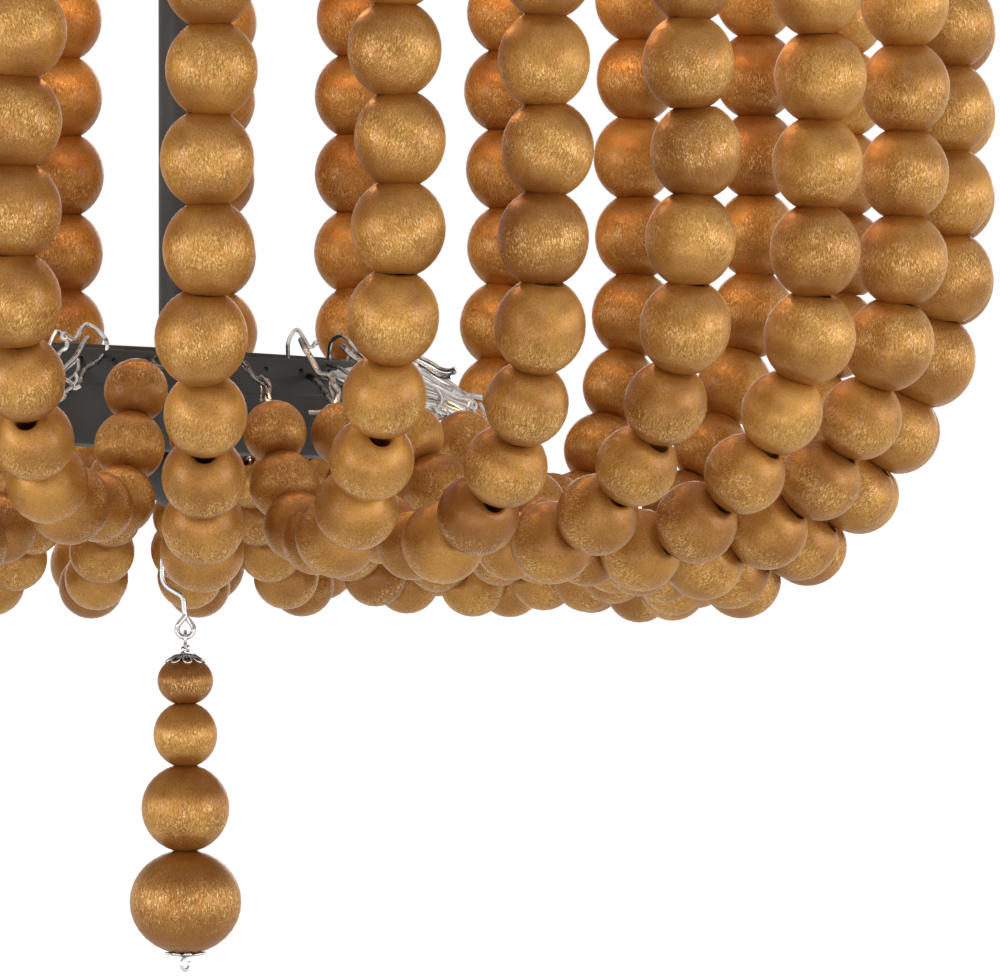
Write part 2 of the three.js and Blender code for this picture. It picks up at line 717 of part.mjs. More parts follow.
// A ring of wire on a threaded boss. The ring hangs below the boss, or stands on it.
function loopGeometry(bossTop, ringCentre, threadFrom, threadTo) {
  const ring = new THREE.TorusGeometry(loopRadius, chainWireRadius, 5, ringSegments);
  ring.rotateX(Math.PI / 2);
  ring.translate(0, 0, ringCentre);
  const boss = rod(loopBossRadius, bossTop, bossTop - loopBossHeight, 10);
  const bore = rod(boreRadius, Math.max(threadFrom, threadTo), Math.min(threadFrom, threadTo), 10);
  return geometryOf(solidOf(boss).add(solidOf(ring)).subtract(solidOf(bore)));
}

// A chain link: a ring of wire whose halves are drawn apart.
function linkGeometry() {
  const link = new THREE.TorusGeometry(linkHalfWidth, chainWireRadius, 5, ringSegments);
  link.rotateZ(Math.PI / ringSegments); // so that no corner lies where the halves part
  const place = link.getAttribute('position');
  const stretch = linkPitch / 2 - linkHalfWidth;
  for (let i = 0; i < place.count; i += 1) {
    place.setY(i, place.getY(i) + Math.sign(place.getY(i)) * stretch);
  }
  link.rotateX(Math.PI / 2);
  return facingOut(link);
}

function addChain() {
  addPiece('rose_loop', loopGeometry(
    roseLoopTop, roseLoopBottom - loopRadius, roseLoopTop + cutOverrun, roseLoopTop - threadDepth,
  ), ironMaterial);
  for (let i = 0; i < linkCount; i += 1) {
    const link = addPiece(`chain_link_${i + 1}`, linkGeometry(), ironMaterial);
    link.position.z = firstPivot - i * linkDrop + pinch - linkPitch / 2;
    link.rotation.z = i % 2 === 0 ? Math.PI / 2 : 0;
  }
  addPiece('top_loop', loopGeometry(
    topBossTop, topLoopCentre, topBossBottom - cutOverrun, topBossBottom + threadDepth + seatGap,
  ), ironMaterial);
}

// The spun rose against the ceiling and, inside it, the mounting bar with its threaded stud.
function addRose() {
  const outer = roseWidthShares.map((share, i) => {
    const steps = roseWidthShares.length - 2;
    const fall = i === 0 ? 0 : roseLip + ((roseDepth - roseLip) * (i - 1)) / steps;
    return [share * roseRadius, -fall];
  });
  const flatten = (fall) => Math.min(fall + roseWall, 0);
  const inner = outer.map(([radius, height], i) => [radius - roseWall, i === 0 ? 0 : flatten(height)]);
  addPiece('ceiling_rose', turnedRing([
    ...outer,
    [boreRadius, -roseDepth],
    [boreRadius, roseWall - roseDepth],
    ...inner.reverse(),
  ], 20), ironMaterial);
  const bar = new THREE.BoxGeometry(barLength, barWidth, barThickness);
  bar.translate(0, 0, -barThickness / 2);
  const studBottom = roseLoopTop - threadDepth + seatGap;
  let mount = solidOf(bar).add(solidOf(rod(nippleRadius, -barThickness / 2, studBottom, 10)));
  for (const side of [-1, 1]) {
    const hole = rod(barScrewRadius, cutOverrun, -barThickness - cutOverrun, 8);
    hole.translate((side * barScrewSpacing) / 2, 0, 0);
    mount = mount.subtract(solidOf(hole));
  }
  addPiece('mounting_bar', geometryOf(mount), silverMaterial);
}

addRose();
addChain();
addStems();
addTopFrame();
addLamps();
addHub();
addKnob();
addHook();
addDrop();
addStrands();

export default chandelier;
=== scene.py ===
# %% [markdown]
# # A beaded chandelier, piece by piece
#
# A basket of wooden bead strands hangs from a black iron rim and is wired to a hub cup at
# the foot of the stem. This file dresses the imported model: it keeps every piece where the
# CAD has it and gives it the shape and finish that the eye expects.

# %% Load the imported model
import math
import random

import bpy
import numpy as np
from mathutils import Matrix, Vector


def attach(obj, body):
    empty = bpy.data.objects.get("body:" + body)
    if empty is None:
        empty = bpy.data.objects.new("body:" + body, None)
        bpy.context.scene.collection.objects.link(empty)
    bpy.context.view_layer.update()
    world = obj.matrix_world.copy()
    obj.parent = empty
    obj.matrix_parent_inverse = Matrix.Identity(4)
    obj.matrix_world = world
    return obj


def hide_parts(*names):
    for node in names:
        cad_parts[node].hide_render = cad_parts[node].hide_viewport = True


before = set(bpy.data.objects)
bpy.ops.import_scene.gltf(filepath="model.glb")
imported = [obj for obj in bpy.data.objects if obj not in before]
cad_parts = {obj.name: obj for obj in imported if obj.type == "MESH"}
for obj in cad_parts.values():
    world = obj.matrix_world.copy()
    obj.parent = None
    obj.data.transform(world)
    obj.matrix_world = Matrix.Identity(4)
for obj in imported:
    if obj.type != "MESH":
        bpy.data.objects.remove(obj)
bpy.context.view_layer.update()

# %% [markdown]
# ## The camera
#
# The photograph was taken from far away with a long lens, so the strands at the front and
# at the back are nearly the same size. The lens is worked out from that. The camera stands
# a little above the basket's base line and is aimed to the right of the stem and below it,
# because the photograph shows only the lower right part of the chandelier.

# %% Camera
MM = 0.001
BASE_LINE = -527.2  # the height of the basket's base line, in millimetres
CAMERA_DISTANCE = 3036.0
CAMERA_HEIGHT = 104.0  # above the base line


def new_object(name, data):
    """An object with this data, linked to the scene."""
    made = bpy.data.objects.new(name, data)
    bpy.context.scene.collection.objects.link(made)
    return made


camera_data = bpy.data.cameras.new("photo_camera")
camera_data.sensor_width = 36.0
camera_data.lens = 382.5
camera = new_object("photo_camera", camera_data)
camera.location = Vector((0, -CAMERA_DISTANCE, BASE_LINE + CAMERA_HEIGHT)) * MM
aim = Vector((90.0, 0, BASE_LINE + CAMERA_HEIGHT - 81.3)) * MM
camera.rotation_euler = (aim - camera.location).to_track_quat("-Z", "Y").to_euler()
bpy.context.scene.camera = camera
print("camera at", [round(v, 3) for v in camera.location])

# %% [markdown]
# ## Helpers for meshes
#
# Almost every piece is either turned on a lathe or bent from wire. So one helper spins a
# profile and one runs a round section along a path. Each returns corners and faces in
# millimetres, which is less to carry about than a mesh and easy to join, move and count.


# %% Turned and bent shapes
def turned(profile, sides, ring=False):
    """Corners and faces of a profile of (radius, height) pairs spun about Z."""
    corners, rows = [], []
    for radius, height in profile:
        count = 1 if radius == 0 else sides
        rows.append(list(range(len(corners), len(corners) + count)))
        for i in range(count):
            angle = math.tau * i / sides
            corners.append((radius * math.cos(angle), radius * math.sin(angle), height))
    faces = []
    pairs = list(zip(rows, rows[1:]))
    if ring:
        pairs.append((rows[-1], rows[0]))
    for low, high in pairs:
        for i in range(sides):
            j = (i + 1) % sides
            if len(low) == 1:
                faces.append((low[0], high[j], high[i]))
            elif len(high) == 1:
                faces.append((low[i], low[j], high[0]))
            else:
                faces.append((low[i], low[j], high[j], high[i]))
    return corners, faces


def unit(vector):
    vector = np.asarray(vector, float)
    return vector / max(np.linalg.norm(vector), 1e-9)


def wire(path, radius, sides=8, closed=False):
    """A round section along a path, turned as little as possible from point to point."""
    path = [np.asarray(point, float) for point in path]
    last = len(path) - 1
    radii = radius if isinstance(radius, (list, tuple)) else [radius] * len(path)
    across, corners = None, []
    for i, point in enumerate(path):
        before = path[i - 1] if i or closed else path[0]
        after = path[(i + 1) % len(path)] if i < last or closed else path[last]
        along = unit(after - before)
        if across is None:
            start = (0, 0, 1) if abs(along[2]) < 0.8 else (1, 0, 0)
            across = unit(np.cross(along, start))
        across = unit(across - along * np.dot(across, along))
        beside = np.cross(along, across)
        for j in range(sides):
            angle = math.tau * j / sides
            corner = point + radii[i] * (math.cos(angle) * across + math.sin(angle) * beside)
            corners.append(tuple(corner))
    faces = []
    for i in range(len(path) if closed else last):
        a, b = i * sides, ((i + 1) % len(path)) * sides
        for j in range(sides):
            k = (j + 1) % sides
            faces.append((a + j, a + k, b + k, b + j))
    if not closed:
        faces.append(tuple(range(sides))[::-1])
        faces.append(tuple(last * sides + j for j in range(sides)))
    return corners, faces


print("two ways to make a shape:", turned.__name__, "and", wire.__name__)

# %% [markdown]
# ## From shapes to pieces
#
# A few shapes are often one piece on the real object, such as a ring and its boss, so they are
# joined before Blender sees them. Bent wire looks stiff when it runs straight from point to
# point, so a path is smoothed first. At the end the corners become a mesh in metres, the new
# object is hung on the body that carries it, and the CAD nodes that it stands for are hidden.


# %% Paths and pieces
def joined(*shapes):
    """Several shapes as one."""
    corners, faces = [], []
    for more, their_faces in shapes:
        start = len(corners)
        corners.extend(more)
        faces.extend(tuple(start + i for i in face) for face in their_faces)
    return corners, faces


def moved(shape, offset=(0, 0, 0), degrees=0.0):
    """The shape turned about the Z axis and then shifted."""
    turn = Matrix.Rotation(math.radians(degrees), 3, "Z")
    return [tuple(turn @ Vector(c) + Vector(offset)) for c in shape[0]], shape[1]


def smooth_path(points, steps=6):
    """A smooth curve through the points, with so many steps between each two of them."""
    points = [np.asarray(p, float) for p in points]
    points = [2 * points[0] - points[1], *points, 2 * points[-1] - points[-2]]
    made = []
    for a, b, c, d in zip(points, points[1:], points[2:], points[3:]):
        for i in range(steps):
            t = i / steps
            made.append(0.5 * (2 * b + (c - a) * t + (2 * a - 5 * b + 4 * c - d) * t * t
                               + (3 * b - a - 3 * c + d) * t**3))
    return [*made, points[-2]]


def above(base, points):
    """The points with their last numbers, the heights, counted from a base."""
    return [(*point[:-1], base + point[-1]) for point in points]


def arc(centre, right, up, radius, start, stop, steps):
    """Points on an arc in the plane of two directions, between two angles in degrees."""
    made = []
    for i in range(steps + 1):
        angle = math.radians(start + (stop - start) * i / steps)
        made.append(np.asarray(centre, float) + radius * (
            math.cos(angle) * np.asarray(right, float) + math.sin(angle) * np.asarray(up, float)))
    return made


def new_mesh(name, shape):
    """A mesh in metres from a shape in millimetres."""
    mesh = bpy.data.meshes.new(name)
    mesh.from_pydata([tuple(v * MM for v in c) for c in shape[0]], [], shape[1])
    return mesh


def add_piece(name, shape, material, body, slot, nodes, sharp=40.0):
    """The shape as an object that rides on a body and stands for the given nodes."""
    mesh = new_mesh(name, shape)
    mesh.validate()
    mesh.shade_smooth()
    mesh.set_sharp_from_angle(angle=math.radians(sharp))
    mesh.materials.append(material)
    piece = new_object(name, mesh)
    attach(piece, body)
    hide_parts(*nodes)
    return piece


print("every piece is made by", add_piece.__name__)

# %% [markdown]
# ## Helpers for node trees
#
# A procedural finish is a small calculation made of nodes. Written out in full it takes a line
# for each input and hides what is being worked out. So one helper fills in a node's inputs: a
# number or a colour is set, and another node's output is linked. The rest are built on it.


# %% Node helpers
def new_group(name, inputs, outputs):
    group = bpy.data.node_groups.new(name, "ShaderNodeTree")
    for label, kind, value in inputs:
        socket = group.interface.new_socket(label, in_out="INPUT", socket_type=kind)
        socket.default_value = value
    for label, kind in outputs:
        group.interface.new_socket(label, in_out="OUTPUT", socket_type=kind)
    return group, group.nodes.new("NodeGroupInput"), group.nodes.new("NodeGroupOutput")


def fed(tree, node, values):
    """The node, with a value set or an output linked on each named or numbered input."""
    for label, value in dict(values).items():
        if isinstance(value, bpy.types.NodeSocket):
            tree.links.new(value, node.inputs[label])
        else:
            node.inputs[label].default_value = value
    return node


def new_node(tree, kind, values=()):
    return fed(tree, tree.nodes.new(kind), values)


def math_node(tree, operation, *values):
    node = tree.nodes.new("ShaderNodeMath")
    node.operation = operation
    return fed(tree, node, enumerate(values)).outputs[0]


def vector_node(tree, operation, *values):
    node = tree.nodes.new("ShaderNodeVectorMath")
    node.operation = operation
    return fed(tree, node, enumerate(values)).outputs[0]


def noise_node(tree, vector, scale, detail=2.0, roughness=0.5, distortion=0.0):
    return new_node(tree, "ShaderNodeTexNoise", {
        "Vector": vector, "Scale": scale, "Detail": detail, "Roughness": roughness,
        "Distortion": distortion}).outputs["Fac"]


def mix_colours(tree, factor, first, second):
    node = tree.nodes.new("ShaderNodeMix")
    node.data_type = "RGBA"
    return fed(tree, node, {0: factor, 6: first, 7: second}).outputs[2]


def ramp_between(tree, value, low, high):
    """0 below low, 1 above high, and smooth between them."""
    node = tree.nodes.new("ShaderNodeMapRange")
    node.interpolation_type = "SMOOTHSTEP"
    fed(tree, node, {"Value": value, "From Min": low, "From Max": high})
    return node.outputs["Result"]


print("node helpers ready")

# %% [markdown]
# ## Wood grain
#
# The beads are turned from pale hardwood, stained golden and lacquered to a satin sheen.
# Their fibres run nearly along the hole, so light catches them as a band across the bead,
# broken into short streaks. That band is also painted into the colour as a painted highlight:
# lighter across each bead's middle and darker towards its ends, with painted glints of pale
# streaks inside it. Each bead carries its own grain coordinates in millimetres, with Z along
# the fibres, so the grain goes through the bead as it does in solid wood. The group turns
# them into a colour with that painted highlight, a height for the bump, and a mask for the
# polish.

# %% Wood grain group
wood_grain, given, result = new_group(
    "wood_grain",
    [("Grain", "NodeSocketVector", (0, 0, 0)), ("Tone", "NodeSocketFloat", 0.0),
     ("Painted Band", "NodeSocketFloat", 0.0),
     ("Dark", "NodeSocketColor", (0.33, 0.13, 0.027, 1)),
     ("Light", "NodeSocketColor", (0.66, 0.335, 0.075, 1)),
     ("Painted Glint", "NodeSocketColor", (1.0, 0.72, 0.3, 1))],
    [("Colour", "NodeSocketColor"), ("Height", "NodeSocketFloat"), ("Polish", "NodeSocketFloat")])


# How often each noise repeats in a millimetre, from the finest to the broadest.
HAIRS, STREAKS, PORES, PATCHES, CLOUDS = 3.4, 2.6, 1.9, 0.3, 0.11
# The tone's middle, and how strongly the painted glints show in the colour.
MIDDLE_WARMTH, PAINTED_GLINT_SHARE = 0.42, 0.76


def grain_math(operation, *values):
    return math_node(wood_grain, operation, *values)


def grain_ramp(value, low, high):
    return ramp_between(wood_grain, value, low, high)


def along_fibres(stretch):
    """The grain coordinates, with noise drawn out along the fibres."""
    return vector_node(wood_grain, "MULTIPLY", given.outputs["Grain"], (1.0, 1.0, stretch))


fibres = along_fibres(0.4)
streaks = noise_node(wood_grain, fibres, STREAKS, detail=1.2, roughness=0.6, distortion=0.8)
hairs = noise_node(wood_grain, along_fibres(0.12), HAIRS)
clouds = noise_node(wood_grain, fibres, CLOUDS)
pores = grain_ramp(noise_node(wood_grain, fibres, PORES, detail=1.0), 0.68, 0.76)
patches = grain_ramp(noise_node(
    wood_grain, given.outputs["Grain"], PATCHES, detail=1.0), 0.36, 0.62)
# Painted highlight band: 1 across the middle of each bead and 0 towards its ends.
band = grain_math("SUBTRACT", 1.0, grain_ramp(
    grain_math("ABSOLUTE", given.outputs["Painted Band"]), 0.05, 0.75))
# Painted glints: bright streaks where the streak noise peaks, mostly inside the painted highlight
# band and in patches.
painted_glints = grain_math("MULTIPLY", grain_math("MULTIPLY_ADD", band, 0.9, 0.1),
                  grain_ramp(streaks, 0.51, 0.67))
painted_glints = grain_math("MULTIPLY", painted_glints, grain_math("MULTIPLY_ADD", patches, 0.8, 0.2))
furrows = grain_math("MULTIPLY", grain_math("MULTIPLY_ADD", band, 0.6, 0.4),
                     grain_ramp(streaks, 0.5, 0.36))
# The wood's tone: grain, clouds and each bead's own tone, plus the painted highlight band, which
# lightens each bead's middle and leaves its ends darker.
tone_and_painted_band = grain_math("MULTIPLY_ADD", grain_math("SUBTRACT", hairs, 0.5), 0.7, MIDDLE_WARMTH)
for effect, share in ((grain_math("SUBTRACT", clouds, 0.5), 0.9), (given.outputs["Tone"], 0.26),
                      (band, 0.26), (furrows, -0.36), (pores, -0.42)):
    tone_and_painted_band = grain_math("MULTIPLY_ADD", effect, share, tone_and_painted_band)
colour = mix_colours(wood_grain, grain_ramp(tone_and_painted_band, 0.0, 1.0), given.outputs["Dark"],
                     given.outputs["Light"])
# The painted glints are mixed over the tone as pale streaks.
colour = mix_colours(wood_grain, grain_math("MULTIPLY", painted_glints, PAINTED_GLINT_SHARE), colour,
                     given.outputs["Painted Glint"])
relief = grain_math("SUBTRACT", grain_math("MULTIPLY_ADD", hairs, 0.3, streaks), pores)
fed(wood_grain, result, {"Colour": colour, "Height": relief, "Polish": streaks})
print("wood grain group has", len(wood_grain.nodes), "nodes")

# %% [markdown]
# ## Paint and metal texture
#
# The iron is sprayed matte black, which leaves a fine orange-peel skin, and bright wire has
# fine scratches and dull patches. Both are the same effect at another scale: noise that
# changes how rough the surface is and lifts it a little.

# %% Surface skin group
surface_skin, given, result = new_group(
    "surface_skin",
    [("Grain Size", "NodeSocketFloat", 1.0), ("Dull", "NodeSocketFloat", 0.6),
     ("Bright", "NodeSocketFloat", 0.4)],
    [("Roughness", "NodeSocketFloat"), ("Height", "NodeSocketFloat"),
     ("Patches", "NodeSocketFloat")])
place = new_node(surface_skin, "ShaderNodeTexCoord").outputs["Object"]
grained = vector_node(surface_skin, "SCALE", place)
fed(surface_skin, grained.node, {"Scale": given.outputs["Grain Size"]})
patches = noise_node(surface_skin, grained, 60.0, detail=4.0, roughness=0.6)
peel = noise_node(surface_skin, grained, 1400.0, detail=2.0)
spread = math_node(surface_skin, "SUBTRACT", given.outputs["Dull"], given.outputs["Bright"])
roughness = math_node(surface_skin, "MULTIPLY_ADD", ramp_between(surface_skin, patches, 0.3, 0.7),
                      spread, given.outputs["Bright"])
fed(surface_skin, result, {"Roughness": roughness, "Height": peel, "Patches": patches})
print("surface skin group has", len(surface_skin.nodes), "nodes")

# %% [markdown]
# ## Bead wood
#
# The wood's colour, with its painted highlight band and painted glints, its polish and its fine
# relief come from the grain group. The finish is anisotropic too: the highlight is drawn out
# across the fibres, which is what gives turned wood its silky band of light. Every bead says on
# its mesh which way its own fibres run, and where its painted highlight band lies.


# %% Bead wood
def new_material(name, colour, roughness, metallic=0.0):
    material = bpy.data.materials.new(name)
    material.use_nodes = True
    tree = material.node_tree
    shader = fed(tree, tree.nodes["Principled BSDF"], {
        "Base Color": (*colour, 1), "Roughness": roughness, "Metallic": metallic})
    return material, tree, shader


def bump(tree, height, strength, distance):
    return new_node(tree, "ShaderNodeBump", {
        "Height": height, "Strength": strength, "Distance": distance}).outputs["Normal"]


def group_node(tree, group, values=()):
    node = tree.nodes.new("ShaderNodeGroup")
    node.node_tree = group
    return fed(tree, node, values)


def attribute(tree, name, output):
    node = tree.nodes.new("ShaderNodeAttribute")
    node.attribute_name = name
    return node.outputs[output]


bead_wood, tree, shader = new_material("bead_wood", (0.55, 0.3, 0.085), 0.4)
# The band attribute places each bead's painted highlight band.
grain = group_node(tree, wood_grain, {
    "Grain": attribute(tree, "grain", "Vector"), "Tone": attribute(tree, "tone", "Fac"),
    "Painted Band": attribute(tree, "band", "Fac")})
rough = new_node(tree, "ShaderNodeMapRange", {
    "Value": grain.outputs["Polish"], "To Min": 0.56, "To Max": 0.36}).outputs["Result"]
to_world = tree.nodes.new("ShaderNodeVectorTransform")
to_world.vector_type = "VECTOR"
to_world.convert_from = "OBJECT"
to_world.convert_to = "WORLD"
fed(tree, to_world, {"Vector": attribute(tree, "fibre", "Vector")})
normal = new_node(tree, "ShaderNodeNewGeometry").outputs["Normal"]
tangent = vector_node(tree, "NORMALIZE", vector_node(
    tree, "CROSS_PRODUCT", to_world.outputs["Vector"], normal))
fed(tree, shader, {
    "Base Color": grain.outputs["Colour"], "Roughness": rough, "Metallic": 0.42,
    "Normal": bump(tree, grain.outputs["Height"], 0.6, 0.00012),
    "Tangent": tangent, "Anisotropic": 0.8, "Specular IOR Level": 0.15,
    "Specular Tint": (0.7, 0.45, 0.2, 1), "Coat Weight": 0.34, "Coat Roughness": 0.26})
print("bead wood has", len(tree.nodes), "nodes")

# %% [markdown]
# ## Iron, wire, ivory and glass
#
# The other five finishes differ only in numbers: black iron, bright wire, the ivory candle
# sleeves, the lit bulbs and the brass of their screws. Each takes its roughness from the
# surface skin, and most spread two near tints over it in soft patches, so that no surface is
# one flat colour.

# %% Finishes with a skin
BULB_LIGHT, BULB_TO_EYE = 15.5, 1.5  # a camera sees a lit bulb far less bright than it shines


def skinned(name, colour, roughness, values, tints=(), metallic=0.0, tinted="Base Color"):
    """A finish with the surface skin, and its two tints on the named socket."""
    material, tree, shader = new_material(name, colour, roughness, metallic)
    skin = group_node(tree, surface_skin, values)
    fed(tree, shader, {"Roughness": skin.outputs["Roughness"]})
    if tints:
        fed(tree, shader, {tinted: mix_colours(
            tree, skin.outputs["Patches"], *[(*tint, 1) for tint in tints])})
    return material, tree, shader, skin


black_iron, tree, shader, skin = skinned(
    "black_iron", (0.042, 0.044, 0.042), 0.5, {"Dull": 0.62, "Bright": 0.46},
    [(0.03, 0.032, 0.031), (0.048, 0.051, 0.049)])
fed(tree, shader, {"Normal": bump(tree, skin.outputs["Height"], 0.3, 0.00006)})
bright_wire, tree, shader, _ = skinned(
    "bright_wire", (0.78, 0.77, 0.75), 0.2, {"Grain Size": 3.0, "Dull": 0.34, "Bright": 0.14},
    [(0.48, 0.475, 0.46), (0.8, 0.79, 0.77)], metallic=1.0)
fed(tree, shader, {"Specular Tint": (0.05, 0.05, 0.05, 1)})
candle_ivory, tree, shader, skin = skinned(
    "candle_ivory", (0.78, 0.72, 0.58), 0.5, {"Dull": 0.55, "Bright": 0.4},
    [(0.72, 0.65, 0.5), (0.84, 0.79, 0.66)])
fed(tree, shader, {"Normal": bump(tree, skin.outputs["Patches"], 0.4, 0.0004)})
lamp_glass, tree, shader, _ = skinned(
    "lamp_glass", (1.0, 0.9, 0.75), 0.25, {"Dull": 0.3, "Bright": 0.2},
    [(1.0, 0.5, 0.18), (1.0, 0.56, 0.23)], tinted="Emission Color")
seen = new_node(tree, "ShaderNodeLightPath").outputs["Is Camera Ray"]
fed(tree, shader, {"Emission Strength": math_node(
    tree, "MULTIPLY_ADD", seen, BULB_TO_EYE - BULB_LIGHT, BULB_LIGHT)})
screw_brass = skinned("screw_brass", (0.75, 0.55, 0.25), 0.3, {"Dull": 0.4, "Bright": 0.25},
                      metallic=1.0)[0]
print(len(bpy.data.materials), "materials")

# %% [markdown]
# ## Where each strand runs
#
# Every strand starts at the rim, hangs straight down, swings in under the basket and rises
# to the hub. Its line is drawn in a plane as radius and height, and small tables say how each
# hand-strung strand differs from its neighbour. These are the same tables that the CAD uses,
# so each bead made here lies on its CAD bead. The front strands' numbers were measured in the
# photograph, and the others continue them.

# %% Strand tables
STRANDS = 28
FIRST_DEGREES = 1.5 - 90
DRUM_RADIUS = 220.0
RIM_HEIGHT = 308.0
BIG, MID, SMALL, END = (25.0, 23.8), (22.6, 21.2), (19.4, 18.4), (17.6, 16.9)  # width, height
# How far each strand is turned about the stem in the drum, and how much more at the hub, in
# degrees, and how much higher its drum and its lowest beads hang, as a share of a bead.
DRIFTS = [0, 0.3, -1.3, -1.7, -1.2, -0.9, -0.4, 0.9, -0.6, 0.5, -1, -1.2, -2.2, -2.4, -4, -4.5,
          -3, -2.2, -1, 1, -0.5, 0.7, -1.1, 0.2, -0.6, 0.8, -0.2, -0.4]
SWAYS = [1, -0.2, 0.3, 1.6, 2, -0.2, 0.3, -0.6, 0.4, -0.3, 0.6, 0.4, 2.2, 1.3, 3, 2.6, 1, 0.5,
         0.4, -0.8, 0.4, -0.5, 0.7, -0.3, 0.5, -0.6, 0.2, 4.3]
LIFTS = [-0.07, 0.16, 0.05, 0.03, -0.11, -0.22, -0.44, -0.5, -0.34, -0.2, 0.04, 0.02, -0.12,
         -0.18, -0.24, -0.2, -0.06, 0, -0.11, 0.07, -0.02, 0.13, -0.05, 0.04, -0.09, 0.11, 0.04,
         0.36]
BOTTOM_LIFTS = [0.43, 0.58, 0.5, 0.46, 0.33, 0.15, -0.02, -0.24, -0.33, -0.42, -0.36, -0.47,
                -0.42, -0.48, -0.5, -0.5, -0.5, -0.45, -0.5, -0.42, -0.45, -0.35, -0.3, -0.16, 0,
                0.2, 0.5, 1.03]
print("tables for", len(DRIFTS), "strands")

# %% [markdown]
# ## Points and beads on a strand
#
# The line of a strand is walked once to measure its length. After that any distance down the
# strand gives a point in space and three directions there, and the beads are threaded on it
# one after another, from the drum's big ones to the small ones at the hub.


# %% Strand lines
def bezier(a, b, c, d, steps=200):
    t = np.linspace(0, 1, steps + 1)[:, None]
    return ((1 - t)**3 * np.array(a) + 3 * (1 - t)**2 * t * np.array(b)
            + 3 * (1 - t) * t * t * np.array(c) + t**3 * np.array(d))


def strand_line(k):
    """Distances down strand k and the radius and height there, above the base line."""
    bottom = BOTTOM_LIFTS[k] * MID[1]
    inner = np.array((90.0 + bottom, 37.5))
    handle = inner + (14.0, -23.0)
    points = np.vstack([
        [(DRUM_RADIUS, RIM_HEIGHT)],
        bezier((DRUM_RADIUS, 88), (DRUM_RADIUS, 54), (190, bottom), (148, bottom)),
        bezier((148, bottom), (128, bottom), handle, inner)[1:],
        [inner + unit(inner - handle) * 60.0]])
    steps = np.linalg.norm(np.diff(points, axis=0), axis=1)
    return np.concatenate([[0], np.cumsum(steps)]), points


LINES = [strand_line(k) for k in range(STRANDS)]


def placed(k, radius, height):
    """A point of strand k in space, from its radius and its height above the base line."""
    t = min(max((radius - 100) / 80, 0), 1)
    turn = DRIFTS[k] + SWAYS[k] * (1 - t * t * (3 - 2 * t))
    angle = math.radians(FIRST_DEGREES + 360 * k / STRANDS + turn)
    return np.array((radius * math.cos(angle), radius * math.sin(angle), BASE_LINE + height))


def strand_at(k, distance):
    lengths, points = LINES[k]
    return placed(k, np.interp(distance, lengths, points[:, 0]),
                  np.interp(distance, lengths, points[:, 1]))


def strand_frame(k, distance):
    """Three directions at a distance down strand k: across it, beside it and along it."""
    along = unit(strand_at(k, distance + 2) - strand_at(k, distance - 2))
    beside = unit(np.cross((0, 0, 1), strand_at(k, distance)))
    across = unit(np.cross(beside, along))
    return np.array([across, np.cross(along, across), along])


def strand_beads(k):
    """The beads of strand k as (width, height, distance of the middle down the strand)."""
    lowest = RIM_HEIGHT - 70 - LIFTS[k] * BIG[1]
    beads = [(*BIG, lowest - i * BIG[1]) for i in range(9, -1, -1)]
    edge = lowest + BIG[1] / 2
    hangs_high = BOTTOM_LIFTS[k] > -0.1
    for (width, height), count in ((MID, 4), (SMALL, 3), (END, 1 if hangs_high else 2)):
        for _ in range(count):
            beads.append((width, height, edge + height / 2))
            edge += height
    return beads


print(sum(len(strand_beads(k)) for k in range(STRANDS)), "beads on", STRANDS, "strands")

# %% [markdown]
# ## The beads
#
# A wooden bead is turned with a flat at each end of its hole, where it rests on the next, so
# its profile is an ellipse cut by two flats, with the hole's wall inside. Each bead is turned at
# its own width and gets a spin, a small tilt of its fibres and a tone of its own, stored on the
# mesh, because no two beads come from the same piece of wood.

# %% One string of beads
FACE_SHARE, SMALL_FACE_SHARE = 0.2, 0.188  # the flat's radius as a share of a bead's width
BEAD_SIDES = 32
# The painted highlight band lies a little down the strand from each bead's middle, and its place
# differs from bead to bead.
TONE_SPREAD, PAINTED_BAND_MIDDLE, PAINTED_BAND_SPREAD = 0.45, 0.06, 0.16  # from bead to bead
chance = random.Random(7)


def bead_profile(width, height, hole, most_face):
    face = min((FACE_SHARE if width > 24 else SMALL_FACE_SHARE) * width, most_face)
    top = math.acos(2 * face / width)
    half = height / 2
    side = [(width / 2 * math.cos(top * s / 7), half * math.sin(top * s / 7) / math.sin(top))
            for s in range(-7, 8)]
    return [(hole, 0.5 - half), (hole + 0.4, -half), (face - 0.5, -half), *side,
            (face - 0.5, half), (hole + 0.4, half), (hole, half - 0.5)]


def fibre_frame(tilt_degrees, spin_degrees):
    """The fibre's directions inside a bead, from a tilt off the hole and a spin round it."""
    turn = Matrix.Rotation(math.radians(spin_degrees), 3, "Z")
    return np.array(turn @ Matrix.Rotation(math.radians(tilt_degrees), 3, "X"))


